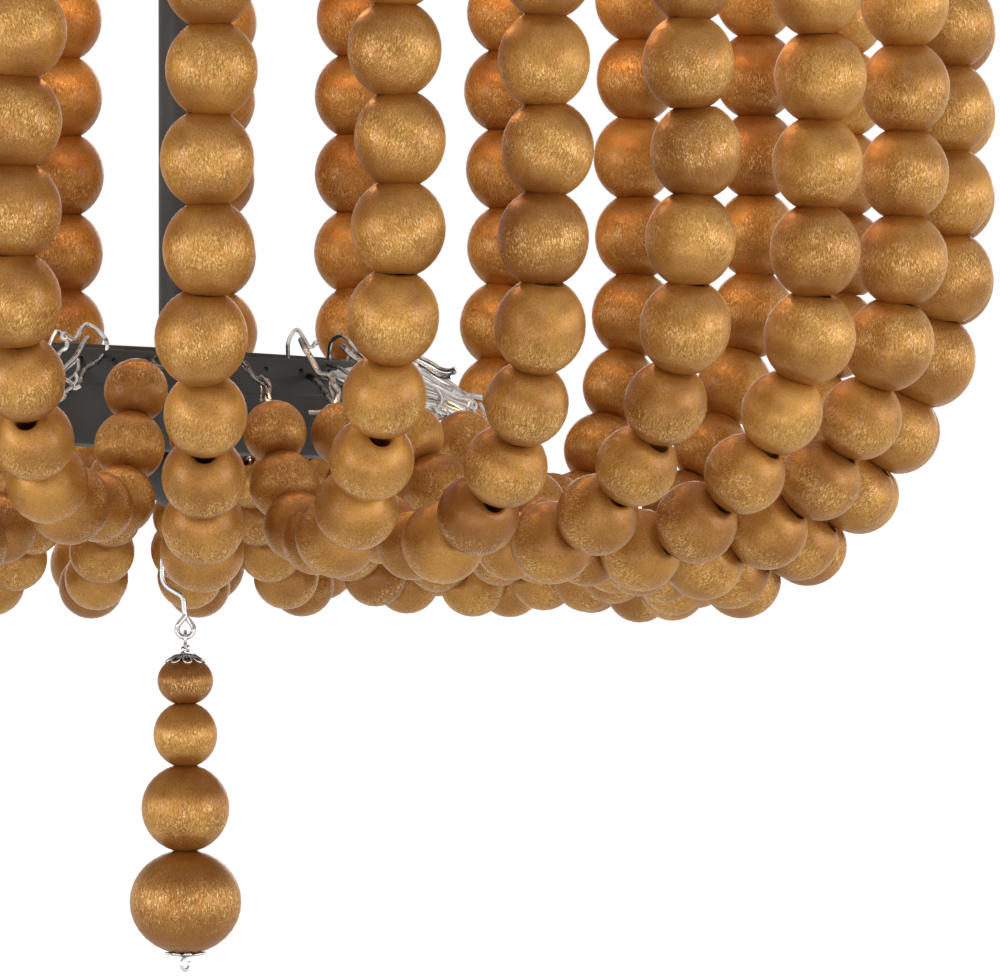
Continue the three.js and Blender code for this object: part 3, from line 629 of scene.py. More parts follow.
def bead_string(name, beads, body, nodes, tone=0.0, most_face=math.inf):
    """One piece of many beads: each has a width, height, hole, middle, axes and largest tilt."""
    corners, faces, grains, fibre_ways, tones, painted_bands = [], [], [], [], [], []
    for width, height, hole, middle, axes, most_tilt in beads:
        profile = bead_profile(width, height, hole, most_face)
        template, their_faces = turned(profile, BEAD_SIDES, ring=True)
        local = np.array(template)
        inside = fibre_frame(chance.uniform(-most_tilt, most_tilt), chance.uniform(0, 360))
        start = len(corners)
        corners.extend(map(tuple, middle + local @ axes))
        faces.extend(tuple(start + i for i in face) for face in their_faces)
        offset = np.array([chance.uniform(-500, 500) for _ in range(3)])
        grains.append(local @ inside + offset)
        fibre_ways.append(np.tile(inside[:, 2] @ axes, (len(local), 1)))
        tones.append(np.full(len(local), tone + chance.gauss(0, TONE_SPREAD)))
        # The painted highlight band's place on the bead: from -1 at one end of its fibres to 1 at
        # the other, shifted for each bead.
        painted_bands.append(2 * (local @ inside[:, 2]) / height
                     - chance.gauss(PAINTED_BAND_MIDDLE, PAINTED_BAND_SPREAD))
    piece = add_piece(name, (corners, faces), bead_wood, body, "bead_wood", nodes, sharp=50)
    for label, kind, values in (("grain", "FLOAT_VECTOR", np.vstack(grains)),
                                ("fibre", "FLOAT_VECTOR", np.vstack(fibre_ways)),
                                ("tone", "FLOAT", np.concatenate(tones)),
                                ("band", "FLOAT", np.concatenate(painted_bands))):
        stored = piece.data.attributes.new(label, kind, "POINT")
        stored.data.foreach_set("vector" if kind == "FLOAT_VECTOR" else "value",
                                values.astype(np.float32).ravel())
    return piece


print("beads are turned with", BEAD_SIDES, "sides")

# %% [markdown]
# ## Beads on their strands
#
# A strand that hangs has no play between its beads, but each sits a little askew. The drum's
# beads are a touch taller than in the CAD, so that no slit of light shows between two leaning
# ones. Where the photograph shows how a front bead has slipped or tipped, a table says it, and
# chance says it for all the others.

# %% Beads on their strands
DRUM_BEADS = 10
DRUM_HOLE_SHARE, HOLE_SHARE = 0.1, 0.13  # the hole's radius as a share of a bead's width
DRUM_SLIP, CURVE_SLIP = 0.7, 0.3  # the most that a bead slips sideways, in millimetres
DRUM_GROWTH, CURVE_GROWTH = 0.65, -0.2  # how much taller a bead is than in the CAD
MOST_LEAN, MOST_TILT = 3.0, 24  # of a bead on its wire and of its fibres, in degrees
# How far the beads 7 to 10 of the front strands sit to the right of their line, in millimetres.
NUDGES = {27: (1.4, 0, -0.3, -0.7), 0: (1.3, 0.1, 0.5, -1.4), 1: (0, 1.5, 1.0, 0),
          2: (-0.3, 0.8, -0.6, -0.3), 3: (-1.2, 1.6, -0.4, -0.3), 4: (1.4, 0, -1.1, 0.8),
          5: (1.2, 0.6, -1.0, -1.2)}
# How far some beads of the front strands have tipped outwards, in degrees. Else bead 12 has by 6.
TIPS = {(27, 11): 11, (0, 11): 11, (1, 11): 11, (2, 11): 0, (2, 12): 11, (3, 11): 11}


def tipped(axes, degrees):
    """The axes of a bead whose upper end has tipped outwards, so that its hole shows."""
    return np.array(Matrix.Rotation(math.radians(-degrees), 3, "Y")) @ axes


def loosely(axes, most):
    """The axes of a bead that has slipped a little, by up to so many degrees."""
    lean = Matrix.Rotation(math.radians(chance.uniform(-most, most)), 3, "X")
    roll = Matrix.Rotation(math.radians(chance.uniform(-most, most)), 3, "Y")
    return np.array(lean @ roll) @ axes


for k in range(STRANDS):
    string = []
    for i, (width, height, at) in enumerate(strand_beads(k)):
        axes = tipped(strand_frame(k, at), TIPS.get((k, i), 6 if i == 11 else 0))
        slip = DRUM_SLIP if i < DRUM_BEADS else CURVE_SLIP
        nudge = chance.uniform(-slip, slip)
        if k in NUDGES and 6 <= i < DRUM_BEADS:
            nudge = NUDGES[k][i - 6]
        middle = strand_at(k, at) + nudge * unit(np.cross((0, 0, 1), strand_at(k, at)))
        height += DRUM_GROWTH if i <= DRUM_BEADS else CURVE_GROWTH  # also the curve's first bead
        hole = (DRUM_HOLE_SHARE if i < DRUM_BEADS else HOLE_SHARE) * width
        string.append((width * chance.uniform(0.98, 1.02), height, hole, middle,
                       loosely(axes, MOST_LEAN), MOST_TILT))
    bead_string(f"strand_beads_{k + 1:02d}", string, "chandelier", [f"bead_strand_{k + 1:02d}"])

# %% [markdown]
# ## The strands' wires
#
# Each strand is threaded on a doubled bright wire. At the top the wire hooks over the rim
# band. At the hub its two halves part: one goes over the cup's edge, the other through a small
# hole below it, and they are wound together above the last bead, with a cut end sticking out.
# A path with a few kinks and a round section gives the look of wire bent by hand.

# %% Wire ends at the rim and the hub
WIRE_RADIUS = 0.5
LOOPED_OVER = (6, 19, 22, 24)  # strands whose second wire also goes over the cup's edge
RIM_RADIUS, RIM_WALL = 206.5, 2.0
HUB_RADIUS, HUB_WALL, HUB_RIM = 50.0, 2.0, 62.0  # the cup's top edge, above the base line
HUB_LEAN = Matrix.Rotation(math.radians(3.2), 3, "Y")  # the strands pull the cup a little askew


def wound_pair(path, reach, turns):
    """Two wires wound round a path, as two lists of points."""
    pair = ([], [])
    for i, point in enumerate(path):
        along = unit(path[min(i + 1, len(path) - 1)] - path[max(i - 1, 0)])
        across = unit(np.cross(along, (0.3, 0.2, 1.0)))
        beside = np.cross(along, across)
        angle = math.tau * turns * i / (len(path) - 1)
        for half, turn in zip(pair, (0, math.pi)):
            half.append(point + reach * (math.cos(angle + turn) * across
                                         + math.sin(angle + turn) * beside))
    return pair


def jittered(point, amount):
    return point + np.array([chance.uniform(-amount, amount) for _ in range(3)])


def rim_end(k, top_face):
    """The doubled wire from the top bead over the rim band's edge and down inside it."""
    start, face = strand_at(k, top_face + 5), strand_at(k, top_face)
    over = [(RIM_RADIUS + 2.2, RIM_HEIGHT - 0.5), (RIM_RADIUS + 0.6, RIM_HEIGHT + 1.6),
            (RIM_RADIUS - 1, RIM_HEIGHT + 2.2), (RIM_RADIUS - RIM_WALL - 1.1, RIM_HEIGHT + 0.6),
            (RIM_RADIUS - RIM_WALL - 1.4, RIM_HEIGHT - 8)]
    path = smooth_path([start, face, *[placed(k, r, h) for r, h in over]], 8)
    return [wire(half, WIRE_RADIUS, 6) for half in wound_pair(path, WIRE_RADIUS, 4.5)]


def on_hub(point):
    """A point of the level hub cup where the leaning cup has it."""
    pivot = Vector((0, 0, BASE_LINE + HUB_RIM - 14))
    return np.array(HUB_LEAN @ (Vector(point) - pivot) + pivot)


def hub_end(k, end_face):
    """The wires from the last bead's hole to the cup, wound together near the bead."""
    start, face = strand_at(k, end_face - 5), strand_at(k, end_face)
    outside = on_hub(placed(k, HUB_RADIUS + 1.6, HUB_RIM - 4))
    knot = jittered(face + chance.uniform(0.2, 0.4) * (outside - face), 1.5)
    wound = smooth_path([start, face, jittered(0.5 * (face + knot), 0.8), knot], 8)
    pair = wound_pair(wound, WIRE_RADIUS * 1.1, 2.5)
    side = unit(np.cross((0, 0, 1), outside))
    made = []
    for half, turn in zip(pair, (-1, 1)):
        shift = side * turn * chance.uniform(0.8, 2.2)
        ways = [on_hub(placed(k, HUB_RADIUS + 3.2, HUB_RIM - chance.uniform(4, 7))) + shift,
                on_hub(placed(k, HUB_RADIUS + 0.8, HUB_RIM - 3.4)),
                on_hub(placed(k, HUB_RADIUS - HUB_WALL - 1.2, HUB_RIM - 3.6))]
        if turn == 1 and k in LOOPED_OVER:
            ways[1:] = [on_hub(placed(k, HUB_RADIUS - s, HUB_RIM + h)) + shift
                        for s, h in ((-1.6, 1.0), (0.6, 4.2), (3.4, 1.0), (3.6, -3.0))]
        bow = [jittered(knot + t * (ways[0] - knot) + shift, 0.9) for t in (0.3, 0.65)]
        made.append(wire(half + smooth_path([half[-1], *bow, *ways], 6)[1:], WIRE_RADIUS, 6))
    back = knot + chance.uniform(0.3, 0.6) * (outside - knot)
    for end in (jittered(back, 2.5), jittered(knot, 1.0) + side * chance.choice((-1, 1)) * 3.5):
        middle = jittered(0.5 * (knot + end), 1.0)
        made.append(wire(smooth_path([knot, middle, end], 5), WIRE_RADIUS, 6))
    return made


print("wires of radius", WIRE_RADIUS, "mm, wound in pairs")

# %% [markdown]
# ## Wires that the photograph shows
#
# In front of the hub the photograph shows each wire's bends, so those wires are written down as
# points instead of being left to chance. At the cup's right many wires cross in a dense bundle.
# The tables give a radius where it is seen, and lengths in millimetres.

# %% Tables of the wires seen
SEEN_THICKER, BUNDLE_RADIUS = 1.15, 0.58
CUP_EDGE_X = 63.0  # a wire of the bundle that starts nearer the stem comes from the cup

# For each strand: a radius, whether the wire runs on into the last bead's hole, and points
# (x, y and height above the base line).
SEEN_WIRES = {
    26: [
        (0.55, False, [(-22, -43.8, 60), (-22, -43.8, 64.9), (-22.8, -45, 66.6),
         (-24.5, -46.7, 68.6), (-26.2, -48, 69.7), (-27.3, -48.9, 70.3), (-28.4, -49.7, 69.7),
         (-29.5, -50.9, 68.3), (-30.3, -52.1, 66.7), (-31.4, -53, 66.1), (-32.6, -53.8, 66.7),
         (-33.7, -54.8, 67.8), (-34.5, -55.5, 67.3), (-34.2, -56.3, 66.1), (-33.1, -57.1, 65.6),
         (-33.3, -58.9, 63.7), (-34.7, -60, 62.8), (-36.5, -64, 60)]),
        (0.6, False, [(-27.3, -47, 66.6), (-28.4, -49.3, 65.5), (-29.5, -53, 63.3),
         (-30.8, -56.8, 61.1), (-33.3, -62, 58.7), (-36, -68, 56)]),
        (0.6, True, [(-22.6, -42, 61.8), (-23.1, -44.9, 61.5), (-24.2, -48.5, 60.1),
         (-25.8, -52.6, 59.1), (-27.5, -56.4, 58.3), (-28.3, -59.3, 57.2), (-28.8, -62.9, 55.6),
         (-29.6, -66.2, 54.3), (-31.3, -69.8, 53.8), (-32.1, -73.1, 52.4), (-33.1, -76.8, 51.1),
         (-34.2, -80, 50)]),
        (0.5, True, [(-30.5, -69, 56.6), (-30.1, -71.5, 55), (-31.2, -74.6, 53.4),
         (-33.6, -78, 51.6)]),
        (0.5, False, [(-33.1, -76, 55.3), (-31.5, -75.2, 54.1), (-30.7, -74.6, 52.7),
         (-29.3, -74, 53.3)])],
    27: [
        (0.5, True, [(-11, -46, 61.2), (-10.7, -49.3, 61), (-10.4, -59.1, 59.7), (-9.2, -70, 58.8),
         (-9.4, -82, 59)]),
        (0.5, True, [(-8, -46.5, 61.5), (-8.1, -49.8, 61.3), (-9, -55.2, 60), (-7.6, -61.8, 58.7),
         (-5.3, -69.7, 57.9), (-6, -80, 58.5)])],
    1: [
        (0.5, True, [(13.6, -45.5, 62), (14.3, -48.8, 62.2), (16, -54.8, 60.5),
         (17.4, -60.2, 58.9), (18.2, -64.8, 57.3), (19.3, -69.8, 55.7), (21.2, -75.8, 54.4),
         (22.5, -80.2, 53.4), (22.8, -84.4, 51.8), (22.5, -89.3, 49.9)]),
        (0.5, True, [(14.4, -45.5, 59.8), (15.4, -52, 59.6), (17.1, -58.4, 57.8),
         (18.5, -63.3, 56.4), (19.8, -68.2, 55.1), (21.7, -73.4, 56), (23.1, -78.8, 54.5),
         (23.6, -82.5, 53.1), (23.3, -87.4, 51.3)]),
        (0.45, False, [(21.3, -77, 53.2), (21.4, -80, 51.6), (21.2, -84, 49.6)])],
    2: [
        (0.5, False, [(29, -38.2, 58), (29, -39, 62.3), (29, -40.6, 64.5), (29.6, -41.7, 66.5),
         (30.7, -42.7, 68.2), (31.8, -43.3, 68.5), (32.9, -44.2, 67.1), (34.1, -45.4, 65.2),
         (34.9, -46.3, 63.8), (36, -46.9, 64.1), (36.8, -47.6, 65.2), (37.4, -48, 64.6)]),
        (0.75, True, [(32.6, -45, 65.8), (33.7, -52.8, 63.3), (34.8, -56.1, 61.7),
         (35.9, -59.9, 59.7), (36.9, -63.6, 57.8), (38, -66.6, 56.5), (39.6, -69.4, 56.3),
         (41, -71.9, 55.7), (41.5, -75.3, 53.8), (42.6, -78.7, 52.2), (42.5, -81.9, 50.3)]),
        (0.5, True, [(38.6, -66.8, 55.4), (40.2, -70.2, 54.9), (40.6, -74.8, 52.8),
         (41.4, -79, 50.4), (41.2, -83, 48.9)]),
        (0.8, True, [(35, -36.4, 55.4), (36.6, -46, 54.5), (37.9, -55.5, 53.2), (39.1, -67, 51.5),
         (40.1, -77.8, 49.7)]),
        (0.5, True, [(34.4, -84, 46.2), (36.4, -84.4, 46.2), (38.3, -84.8, 46.5),
         (40, -85.2, 47.9)])],
    3: [
        (0.5, False, [(40.8, -26.6, 57.5), (40.8, -27.3, 61.2), (41, -30.8, 63.6),
         (41.5, -33.5, 65.3), (42.6, -35.9, 66.4), (44, -38.2, 67), (45.4, -40.7, 66.2),
         (46.5, -43.5, 64.9), (47.6, -46.2, 63.5), (48.6, -48.6, 62.4), (50.3, -52, 61),
         (55, -60, 55)]),
        (0.75, True, [(44.3, -38, 64), (45.6, -43.5, 62.9), (47, -46.4, 61.5), (48.4, -48.9, 60.4),
         (50, -52, 59.1), (55, -61, 52)]),
        (0.5, True, [(40.5, -31, 58.5), (44, -40, 57.6), (50, -54, 53.5), (55.5, -62, 50)])]}

# The bundle's wires: the strand, how far in front of the stem the wire starts and ends, and its
# points (x and height above the base line).
BUNDLE = [
    (5, 24, 38, [(60.9, 62.9), (66.8, 60.4), (70.1, 58.8), (72.3, 57.4), (74.5, 57.1),
     (76.5, 57.7)]),
    (5, 23, 36, [(61, 62), (65.4, 59.5), (68.7, 57.6), (72.1, 56), (74.6, 55.7), (76.2, 56.6)]),
    (5, 22, 37, [(62.1, 60.6), (65.4, 59), (68.5, 57.6), (71.2, 55.7), (73.7, 54.9),
     (75.4, 55.2)]),
    (4, 35, 40, [(61.9, 59.7), (66.6, 56.9), (70, 54.6), (72.8, 52.7), (75.3, 51.6)]),
    (6, 11, 16, [(61.2, 59), (69.7, 56.2), (74.5, 53.7), (78.2, 51.1), (81, 49.7), (84.7, 49.4)]),
    (7, 4, 0, [(61.3, 57.8), (68.5, 55.2), (72.2, 52.9), (75.7, 51.5), (79.1, 49.4), (82, 48.6),
     (84.9, 48)]),
    (6, 14, 17, [(61.1, 57.1), (67.9, 54), (70.8, 52.5), (73.9, 51.1), (76.7, 49.4), (79.8, 48.6),
     (82.1, 47.2)]),
    (7, 6, 4, [(61.3, 55.5), (68.2, 52.7), (71.9, 50.9), (74.7, 49.2), (77.9, 47.8), (80.7, 46.7),
     (83, 45.2)]),
    (6, 18, 20, [(61.1, 54), (68.2, 51.5), (71.6, 50.3), (74.1, 48.6), (76.9, 47.2), (79.8, 45.8),
     (82, 43.8)]),
    (4, 36, 38, [(60.7, 53.7), (67.4, 52.4), (69.7, 51.8), (71.4, 51.2)]),
    (4, 37, 39, [(60.7, 52.1), (67.4, 50.7), (69.7, 50.1), (71.6, 49.6)]),
    (4, 36, 39, [(60.7, 50.9), (67.4, 49.5), (69.7, 49.3), (71.4, 48.7)]),
    (4, 38, 40, [(60.7, 49.3), (67.4, 48.2), (69.4, 47.9), (71.1, 47.6)]),
    (4, 39, 50, [(70.8, 52.1), (72.1, 50.2), (72.4, 48.5), (71.8, 47.1), (70.9, 45.8), (70, 43.8),
     (69.1, 41.9)]),
    (4, 40, 48, [(71.3, 48.2), (72.4, 47.6), (74.6, 46.5), (76.9, 45.7), (79.1, 44.6),
     (81.3, 43.5)]),
    (5, 30, 40, [(72.1, 48.8), (73.8, 48), (76.5, 46.7), (78.7, 45.3), (80.9, 44.5)]),
    (5, 38, 42, [(80.4, 49.3), (82.1, 47.3), (81.5, 45.6), (82.6, 44.2), (84.2, 43.7)]),
    (5, 42, 44, [(83.1, 47.9), (84.2, 45.7), (85.1, 43.4), (82.2, 42.3)]),
    (6, 30, 34, [(80.6, 47.7), (80, 45.5), (81.4, 43.8), (82.2, 41.8)]),
    (4, 44, 47, [(66.2, 47.1), (68.1, 45.5), (69.8, 46.6), (71.2, 45.5)]),
    (4, 46, 50, [(68.1, 43.5), (68.9, 45.8), (70.6, 45.2), (69.7, 42.5)]),
    (4, 45, 47, [(71.8, 46.9), (73.7, 45.7), (72.6, 44.1), (70.6, 43.5)])]
print(sum(map(len, SEEN_WIRES.values())) + len(BUNDLE), "wires are written down")

# %% [markdown]
# ## One wire piece for each strand
#
# The core runs through all the beads of a strand, and its ends are added at the rim and the
# hub. The ends come from the tables where the photograph shows them, and from chance on the
# other strands. All of it is one piece, because on the real strand it is one bent wire.


# %% Strand wires
def add_wire(name, shape, node, body="chandelier", sharp=40.0):
    return add_piece(name, shape, bright_wire, body, "bright_wire", [node], sharp)


def bundle_wires(k):
    """The wires of the bundle that belong to strand k. A long one starts at the cup's edge."""
    made = []
    for strand, first, last, points in BUNDLE:
        if strand != k:
            continue
        depths = np.linspace(-first, -last, len(points))
        path = [np.array((x, y, BASE_LINE + height)) for (x, height), y in zip(points, depths)]
        if points[0][0] < CUP_EDGE_X:
            path.insert(0, on_hub(placed(k, HUB_RADIUS + 0.6, HUB_RIM - 3.3)))
        made.append(wire(smooth_path(path, 4), BUNDLE_RADIUS, 8))
    return made


def seen_hub_end(k, end_face):
    """The wires at the hub of a strand whose wires the photograph shows."""
    hole = [strand_at(k, end_face), strand_at(k, end_face - 5)]
    made = []
    for radius, joins, points in SEEN_WIRES[k]:
        path = [np.array((x, y, BASE_LINE + height)) for x, y, height in points]
        path += hole if joins else []
        made.append(wire(smooth_path(path, 4), radius * SEEN_THICKER, 8))
    return made


for k in range(STRANDS):
    beads = strand_beads(k)
    top_face = beads[0][2] - beads[0][1] / 2
    end_face = beads[-1][2] + beads[-1][1] / 2
    core = wire([strand_at(k, d) for d in np.linspace(top_face + 3, end_face - 3, 70)],
                WIRE_RADIUS, 6)
    inner = (seen_hub_end if k in SEEN_WIRES else hub_end)(k, end_face)
    add_wire(f"strand_wire_{k + 1:02d}",
             joined(core, *rim_end(k, top_face), *inner, *bundle_wires(k)),
             f"bead_strand_{k + 1:02d}")
print(STRANDS, "strand wires")

# %% [markdown]
# ## The iron frame and the stem
#
# A flat band is rolled into the rim and four flat spokes join it to a boss. The lamp pipe
# goes down from there to the hub cup. These are turned or bent from bar on the real object,
# so small bevelled edges matter more than anything else: they catch a thin line of light.


# %% Iron frame and stem
def rounded(profile, radius=0.5):
    """The closed profile with each corner replaced by a short bevel."""
    made = []
    for i, point in enumerate(profile):
        point = np.array(point, float)
        for other in (profile[i - 1], profile[(i + 1) % len(profile)]):
            step = np.array(other, float) - point
            cut = min(radius, 0.45 * np.linalg.norm(step))
            made.append(tuple(point + unit(step) * cut))
    return made


def bar_shape(length, width, height, edge=0.6):
    """A flat bar centred on the origin, with bevelled long edges."""
    a, b = width / 2, height / 2
    section = [(-a, edge - b), (edge - a, -b), (a - edge, -b), (a, edge - b),
               (a, b - edge), (a - edge, b), (edge - a, b), (-a, b - edge)]
    corners = [(x, y, z) for x in (-length / 2, length / 2) for y, z in section]
    faces = [tuple(range(8)), tuple(range(15, 7, -1))]
    faces += [(i + 8, (i + 1) % 8 + 8, (i + 1) % 8, i) for i in range(8)]
    return corners, faces


def add_iron(name, shape, node, body="chandelier"):
    return add_piece(name, shape, black_iron, body, "iron", [node])


RIM_TOP = BASE_LINE + RIM_HEIGHT
SPOKE_HEIGHT = RIM_TOP - 12.5
BOSS_TOP = SPOKE_HEIGHT + 7
UPPER_TOP, UPPER_BOTTOM = BOSS_TOP + 45.3, BOSS_TOP + 0.3
STEM_RADIUS, STEM_BORE = 7.5, 5.2
HUB_TOP = BASE_LINE + HUB_RIM
HUB_BOTTOM = HUB_TOP - 28

rim_inside = RIM_RADIUS - RIM_WALL
band = turned(rounded(above(RIM_TOP, [(RIM_RADIUS, -25), (RIM_RADIUS, 0), (rim_inside, 0),
                                      (rim_inside, -25)])), 168, ring=True)
spokes = [moved(moved(bar_shape(410, 16, 4), degrees=90 * i), (0, 0, SPOKE_HEIGHT))
          for i in (0, 1)]
boss = turned(rounded(above(BOSS_TOP, [(5.2, -14), (14, -14), (14, 0), (5.2, 0)]), 1.2), 48,
              ring=True)
add_iron("rim_frame", joined(band, *spokes, boss), "top_frame")

upper_pipe = above(BOSS_TOP, [(0, -24), (4.4, -24), (4.9, -23.5)])
upper_pipe += above(UPPER_BOTTOM, [(4.9, 0), (7.1, 0), (7.5, 0.4)])
upper_pipe += above(UPPER_TOP, [(7.5, -0.4), (7.1, 0), (4.9, 0), (4.9, 10), (4.4, 10.3),
                                (0, 10.3)])
add_iron("upper_pipe", turned(upper_pipe, 48), "upper_stem")
stem_ends = HUB_BOTTOM + 2.3, BOSS_TOP - 14.3
add_iron("lower_pipe", turned(rounded([
    (STEM_RADIUS, stem_ends[0]), (STEM_RADIUS, stem_ends[1]), (STEM_BORE, stem_ends[1]),
    (STEM_BORE, stem_ends[0])], 0.4), 48, ring=True), "lower_stem")
print("frame and stem made")

# %% [markdown]
# ## The hub cup
#
# The cup is spun from sheet, with a rolled edge. One wire of each strand goes through a small
# hole in its wall, so a Boolean cuts all the holes with short rods. The strands pull the cup a
# little askew, and it is leaned last, with its holes.

# %% Hub cup
WIRE_HOLE_RADIUS = 0.9
cup = above(HUB_TOP, [(50.0, -0.5), (50.0, -9.6), (49.6, -10), (49.2, -10.3)])
cup += above(HUB_BOTTOM, [(49.2, 3), (48.4, 1), (46.5, 0), (5.2, 0), (5.2, 2), (46.2, 2),
                          (48.0, 3.6)])
cup += above(HUB_TOP, [(48.0, -0.5), (48.4, 0), (49.6, 0)])
hub = add_iron("hub_cup_shell", turned(cup, 112, ring=True), "hub_cup")


def wire_hole(k):
    """A short rod that cuts strand k's hole through the cup's wall."""
    place = placed(k, HUB_RADIUS, HUB_RIM - 3.3)
    way = unit((place[0], place[1], 0))
    return wire([place - 5 * way, place + 5 * way], WIRE_HOLE_RADIUS, 10)


holes = new_mesh("hole_cutter", joined(*[wire_hole(k) for k in range(STRANDS)]))
cutter = new_object("hole_cutter", holes)
cut = hub.modifiers.new("wire_holes", "BOOLEAN")
cut.object = cutter
cut.solver = "EXACT"
bpy.context.view_layer.objects.active = hub
with bpy.context.temp_override(object=hub, active_object=hub):
    bpy.ops.object.modifier_apply(modifier="wire_holes")
bpy.data.objects.remove(cutter)
for corner in hub.data.vertices:
    corner.co = Vector(on_hub(np.array(corner.co) / MM)) * MM
print("hub cup has", len(hub.data.polygons), "faces")

# %% [markdown]
# ## Knob, eye and hook
#
# The turned knob screws into the stem from below and holds the cup on. An eye of silver wire
# is screwed into it, and a wire hook hangs in the eye. The hook ends in a small drop-shaped
# loop whose wire crosses itself, which shows clearly against the white background.

# %% Knob, eye and hook
ACROSS, TOWARDS, UP = (1, 0, 0), (0, 1, 0), (0, 0, 1)
KNOB_TOP = HUB_BOTTOM - 0.3
KNOB_BOTTOM = KNOB_TOP - 17.5
knob_side = smooth_path([(7.9, 0), (9.8, -1.6), (11.2, -4.4), (11.4, -7.6), (10.8, -10.6),
                         (9.4, -13.2), (7.6, -15.0), (5.4, -16.4), (3.6, -17.3)], 4)
knob = above(KNOB_TOP, [(0, 12.6), (4.5, 12.6), (4.9, 12.2), (4.9, 0), *knob_side])
knob += above(KNOB_BOTTOM, [(1.4, 0), (1.4, 6.3), (0, 6.3)])
add_iron("turned_knob", turned(knob, 48), "hub_knob")

EYE_RADIUS, EYE_CENTRE = 4.4, KNOB_BOTTOM - 5.9
eye_path = above(KNOB_BOTTOM, [(0, 0, 5.8), (0, 0, 2), (0, 0, -0.5)])
eye_path += arc((0, 0, EYE_CENTRE), TOWARDS, UP, EYE_RADIUS, 90, 410, 40)
add_wire("wire_eye", wire(eye_path, 1.1, 12), "hook_eye")

BOW_RADIUS, HOOK_LOOP_RADIUS = 6.6, 2.35
HOOK_PIVOT = EYE_CENTRE - EYE_RADIUS
BOW_CENTRE = HOOK_PIVOT + 2.25 - BOW_RADIUS
BOW_END = BOW_CENTRE + BOW_RADIUS * math.sin(math.radians(217))
SHANK_TOP, SHANK_BOTTOM = BOW_END - 6.5, BOW_END - 11.7
LOOP_CENTRE = SHANK_BOTTOM - 3.3
hook_path = arc((0, 0, BOW_CENTRE), ACROSS, UP, BOW_RADIUS, -40, 185, 28)
hook_path += above(BOW_END, [(-6.65, 0, 1.2), (-6.5, 0, -0.6), (-5.9, 0, -2.1), (-4.8, 0, -3.2),
                             (-2.9, 0, -4.4), (-1.3, 0, -5.4)])
hook_path += above(SHANK_TOP, [(-0.6, 0, -0.1), (-0.4, 0, -1.4), (-0.3, 0, -3.2)])
hook_path += above(SHANK_BOTTOM, [(-0.1, 0.1, 1.0), (0.3, 0.25, 0), (1.2, 0.45, -1.1),
                                  (2.2, 0.35, -2.5)])
hook_path += arc((0, 0, LOOP_CENTRE), ACROSS, UP, HOOK_LOOP_RADIUS, -2, -178, 18)
hook_path += above(SHANK_BOTTOM, [(-2.15, -0.35, -2.4), (-1.2, -0.5, -1.1), (-0.2, -0.6, 0.1),
                                  (0.35, -0.62, 0.7)])
add_wire("wire_hook", wire(smooth_path(hook_path, 3), 0.75, 12), "s_hook", "hook")
print("hook loop centre is", round(LOOP_CENTRE - BASE_LINE, 2), "mm from the base line")

# %% [markdown]
# ## The bead drop
#
# Four beads of growing size hang on a thin pin, between two pierced metal caps. Each cap is a
# ring of eight petals bent over the bead. The petals are drawn in wire round a small dome, so
# that the wood shows through them as it does in a stamped filigree cap.

# %% Drop pin, caps and beads
DROP_PIVOT = LOOP_CENTRE - HOOK_LOOP_RADIUS
PIN_EYE_RADIUS = 1.8
PIN_EYE = DROP_PIVOT + 1.65 - PIN_EYE_RADIUS
CAP_TOP = PIN_EYE - PIN_EYE_RADIUS - 0.5 - 2.6
DROP_BEADS = [(16.0, 13.1), (18.3, 17.6), (25.2, 24.3), (32.0, 29.2)]
DROP_TONES = [-1.8, -0.8, -0.7, -0.15]
DROP_FACE, DROP_GAP = 3.4, 0.08  # these beads are rounder, and their flats nearly touch
DROP_HOLE, DROP_TILT = 0.9, 5
PETALS = 8


def filigree(face, spread, way):
    """A petal cap on a bead's end. Its face is at a height, and way is 1 on top and -1 below."""
    def sunk(r, lift):
        return face + way * lift - way * spread * max(0.0, (r - 2.4) / 3.2) ** 1.5

    boss = [(0.9, 0), (2.6, 0), (2.9, way * 0.2), (2.6, way * 0.5), (1.6, way * 0.9),
            (0.9, way * 0.9)]
    parts = [turned(above(face, boss), 32, ring=True)]
    for i in range(PETALS):
        petal = []
        for t in range(16):
            angle = math.tau * t / 16
            r = 3.75 - 1.75 * math.cos(angle)
            side = 1.45 * math.sin(angle) * (0.55 + 0.45 * (r - 2.0) / 3.5)
            petal.append((r, side, sunk(math.hypot(r, side), 0.35)))
        rib = [(r, 0.0, sunk(r, 0.3)) for r in (2.4, 3.2, 4.0)]
        for shape in (wire(petal, 0.36, 8, closed=True), wire(rib, [0.5, 0.45, 0.2], 8)):
            parts.append(moved(shape, degrees=360 / PETALS * i + 8))
    return joined(*parts)


add_wire("filigree_top", filigree(CAP_TOP - 0.5, 1.9, 1), "drop_cap_top", "drop", sharp=60)
top = CAP_TOP - 0.8
for i, (width, height) in enumerate(DROP_BEADS):
    middle = np.array((0.0, 0.0, top - height / 2))
    bead_string(f"drop_bead_wood_{i + 1}",
                [(width, height, DROP_HOLE, middle, np.eye(3), DROP_TILT)],
                f"bead_{i + 1}", [f"drop_bead_{i + 1}"], DROP_TONES[i], DROP_FACE)
    top -= height + DROP_GAP
add_wire("filigree_bottom", filigree(top - 0.1, 0.5, -1), "drop_cap_bottom", "drop", sharp=60)

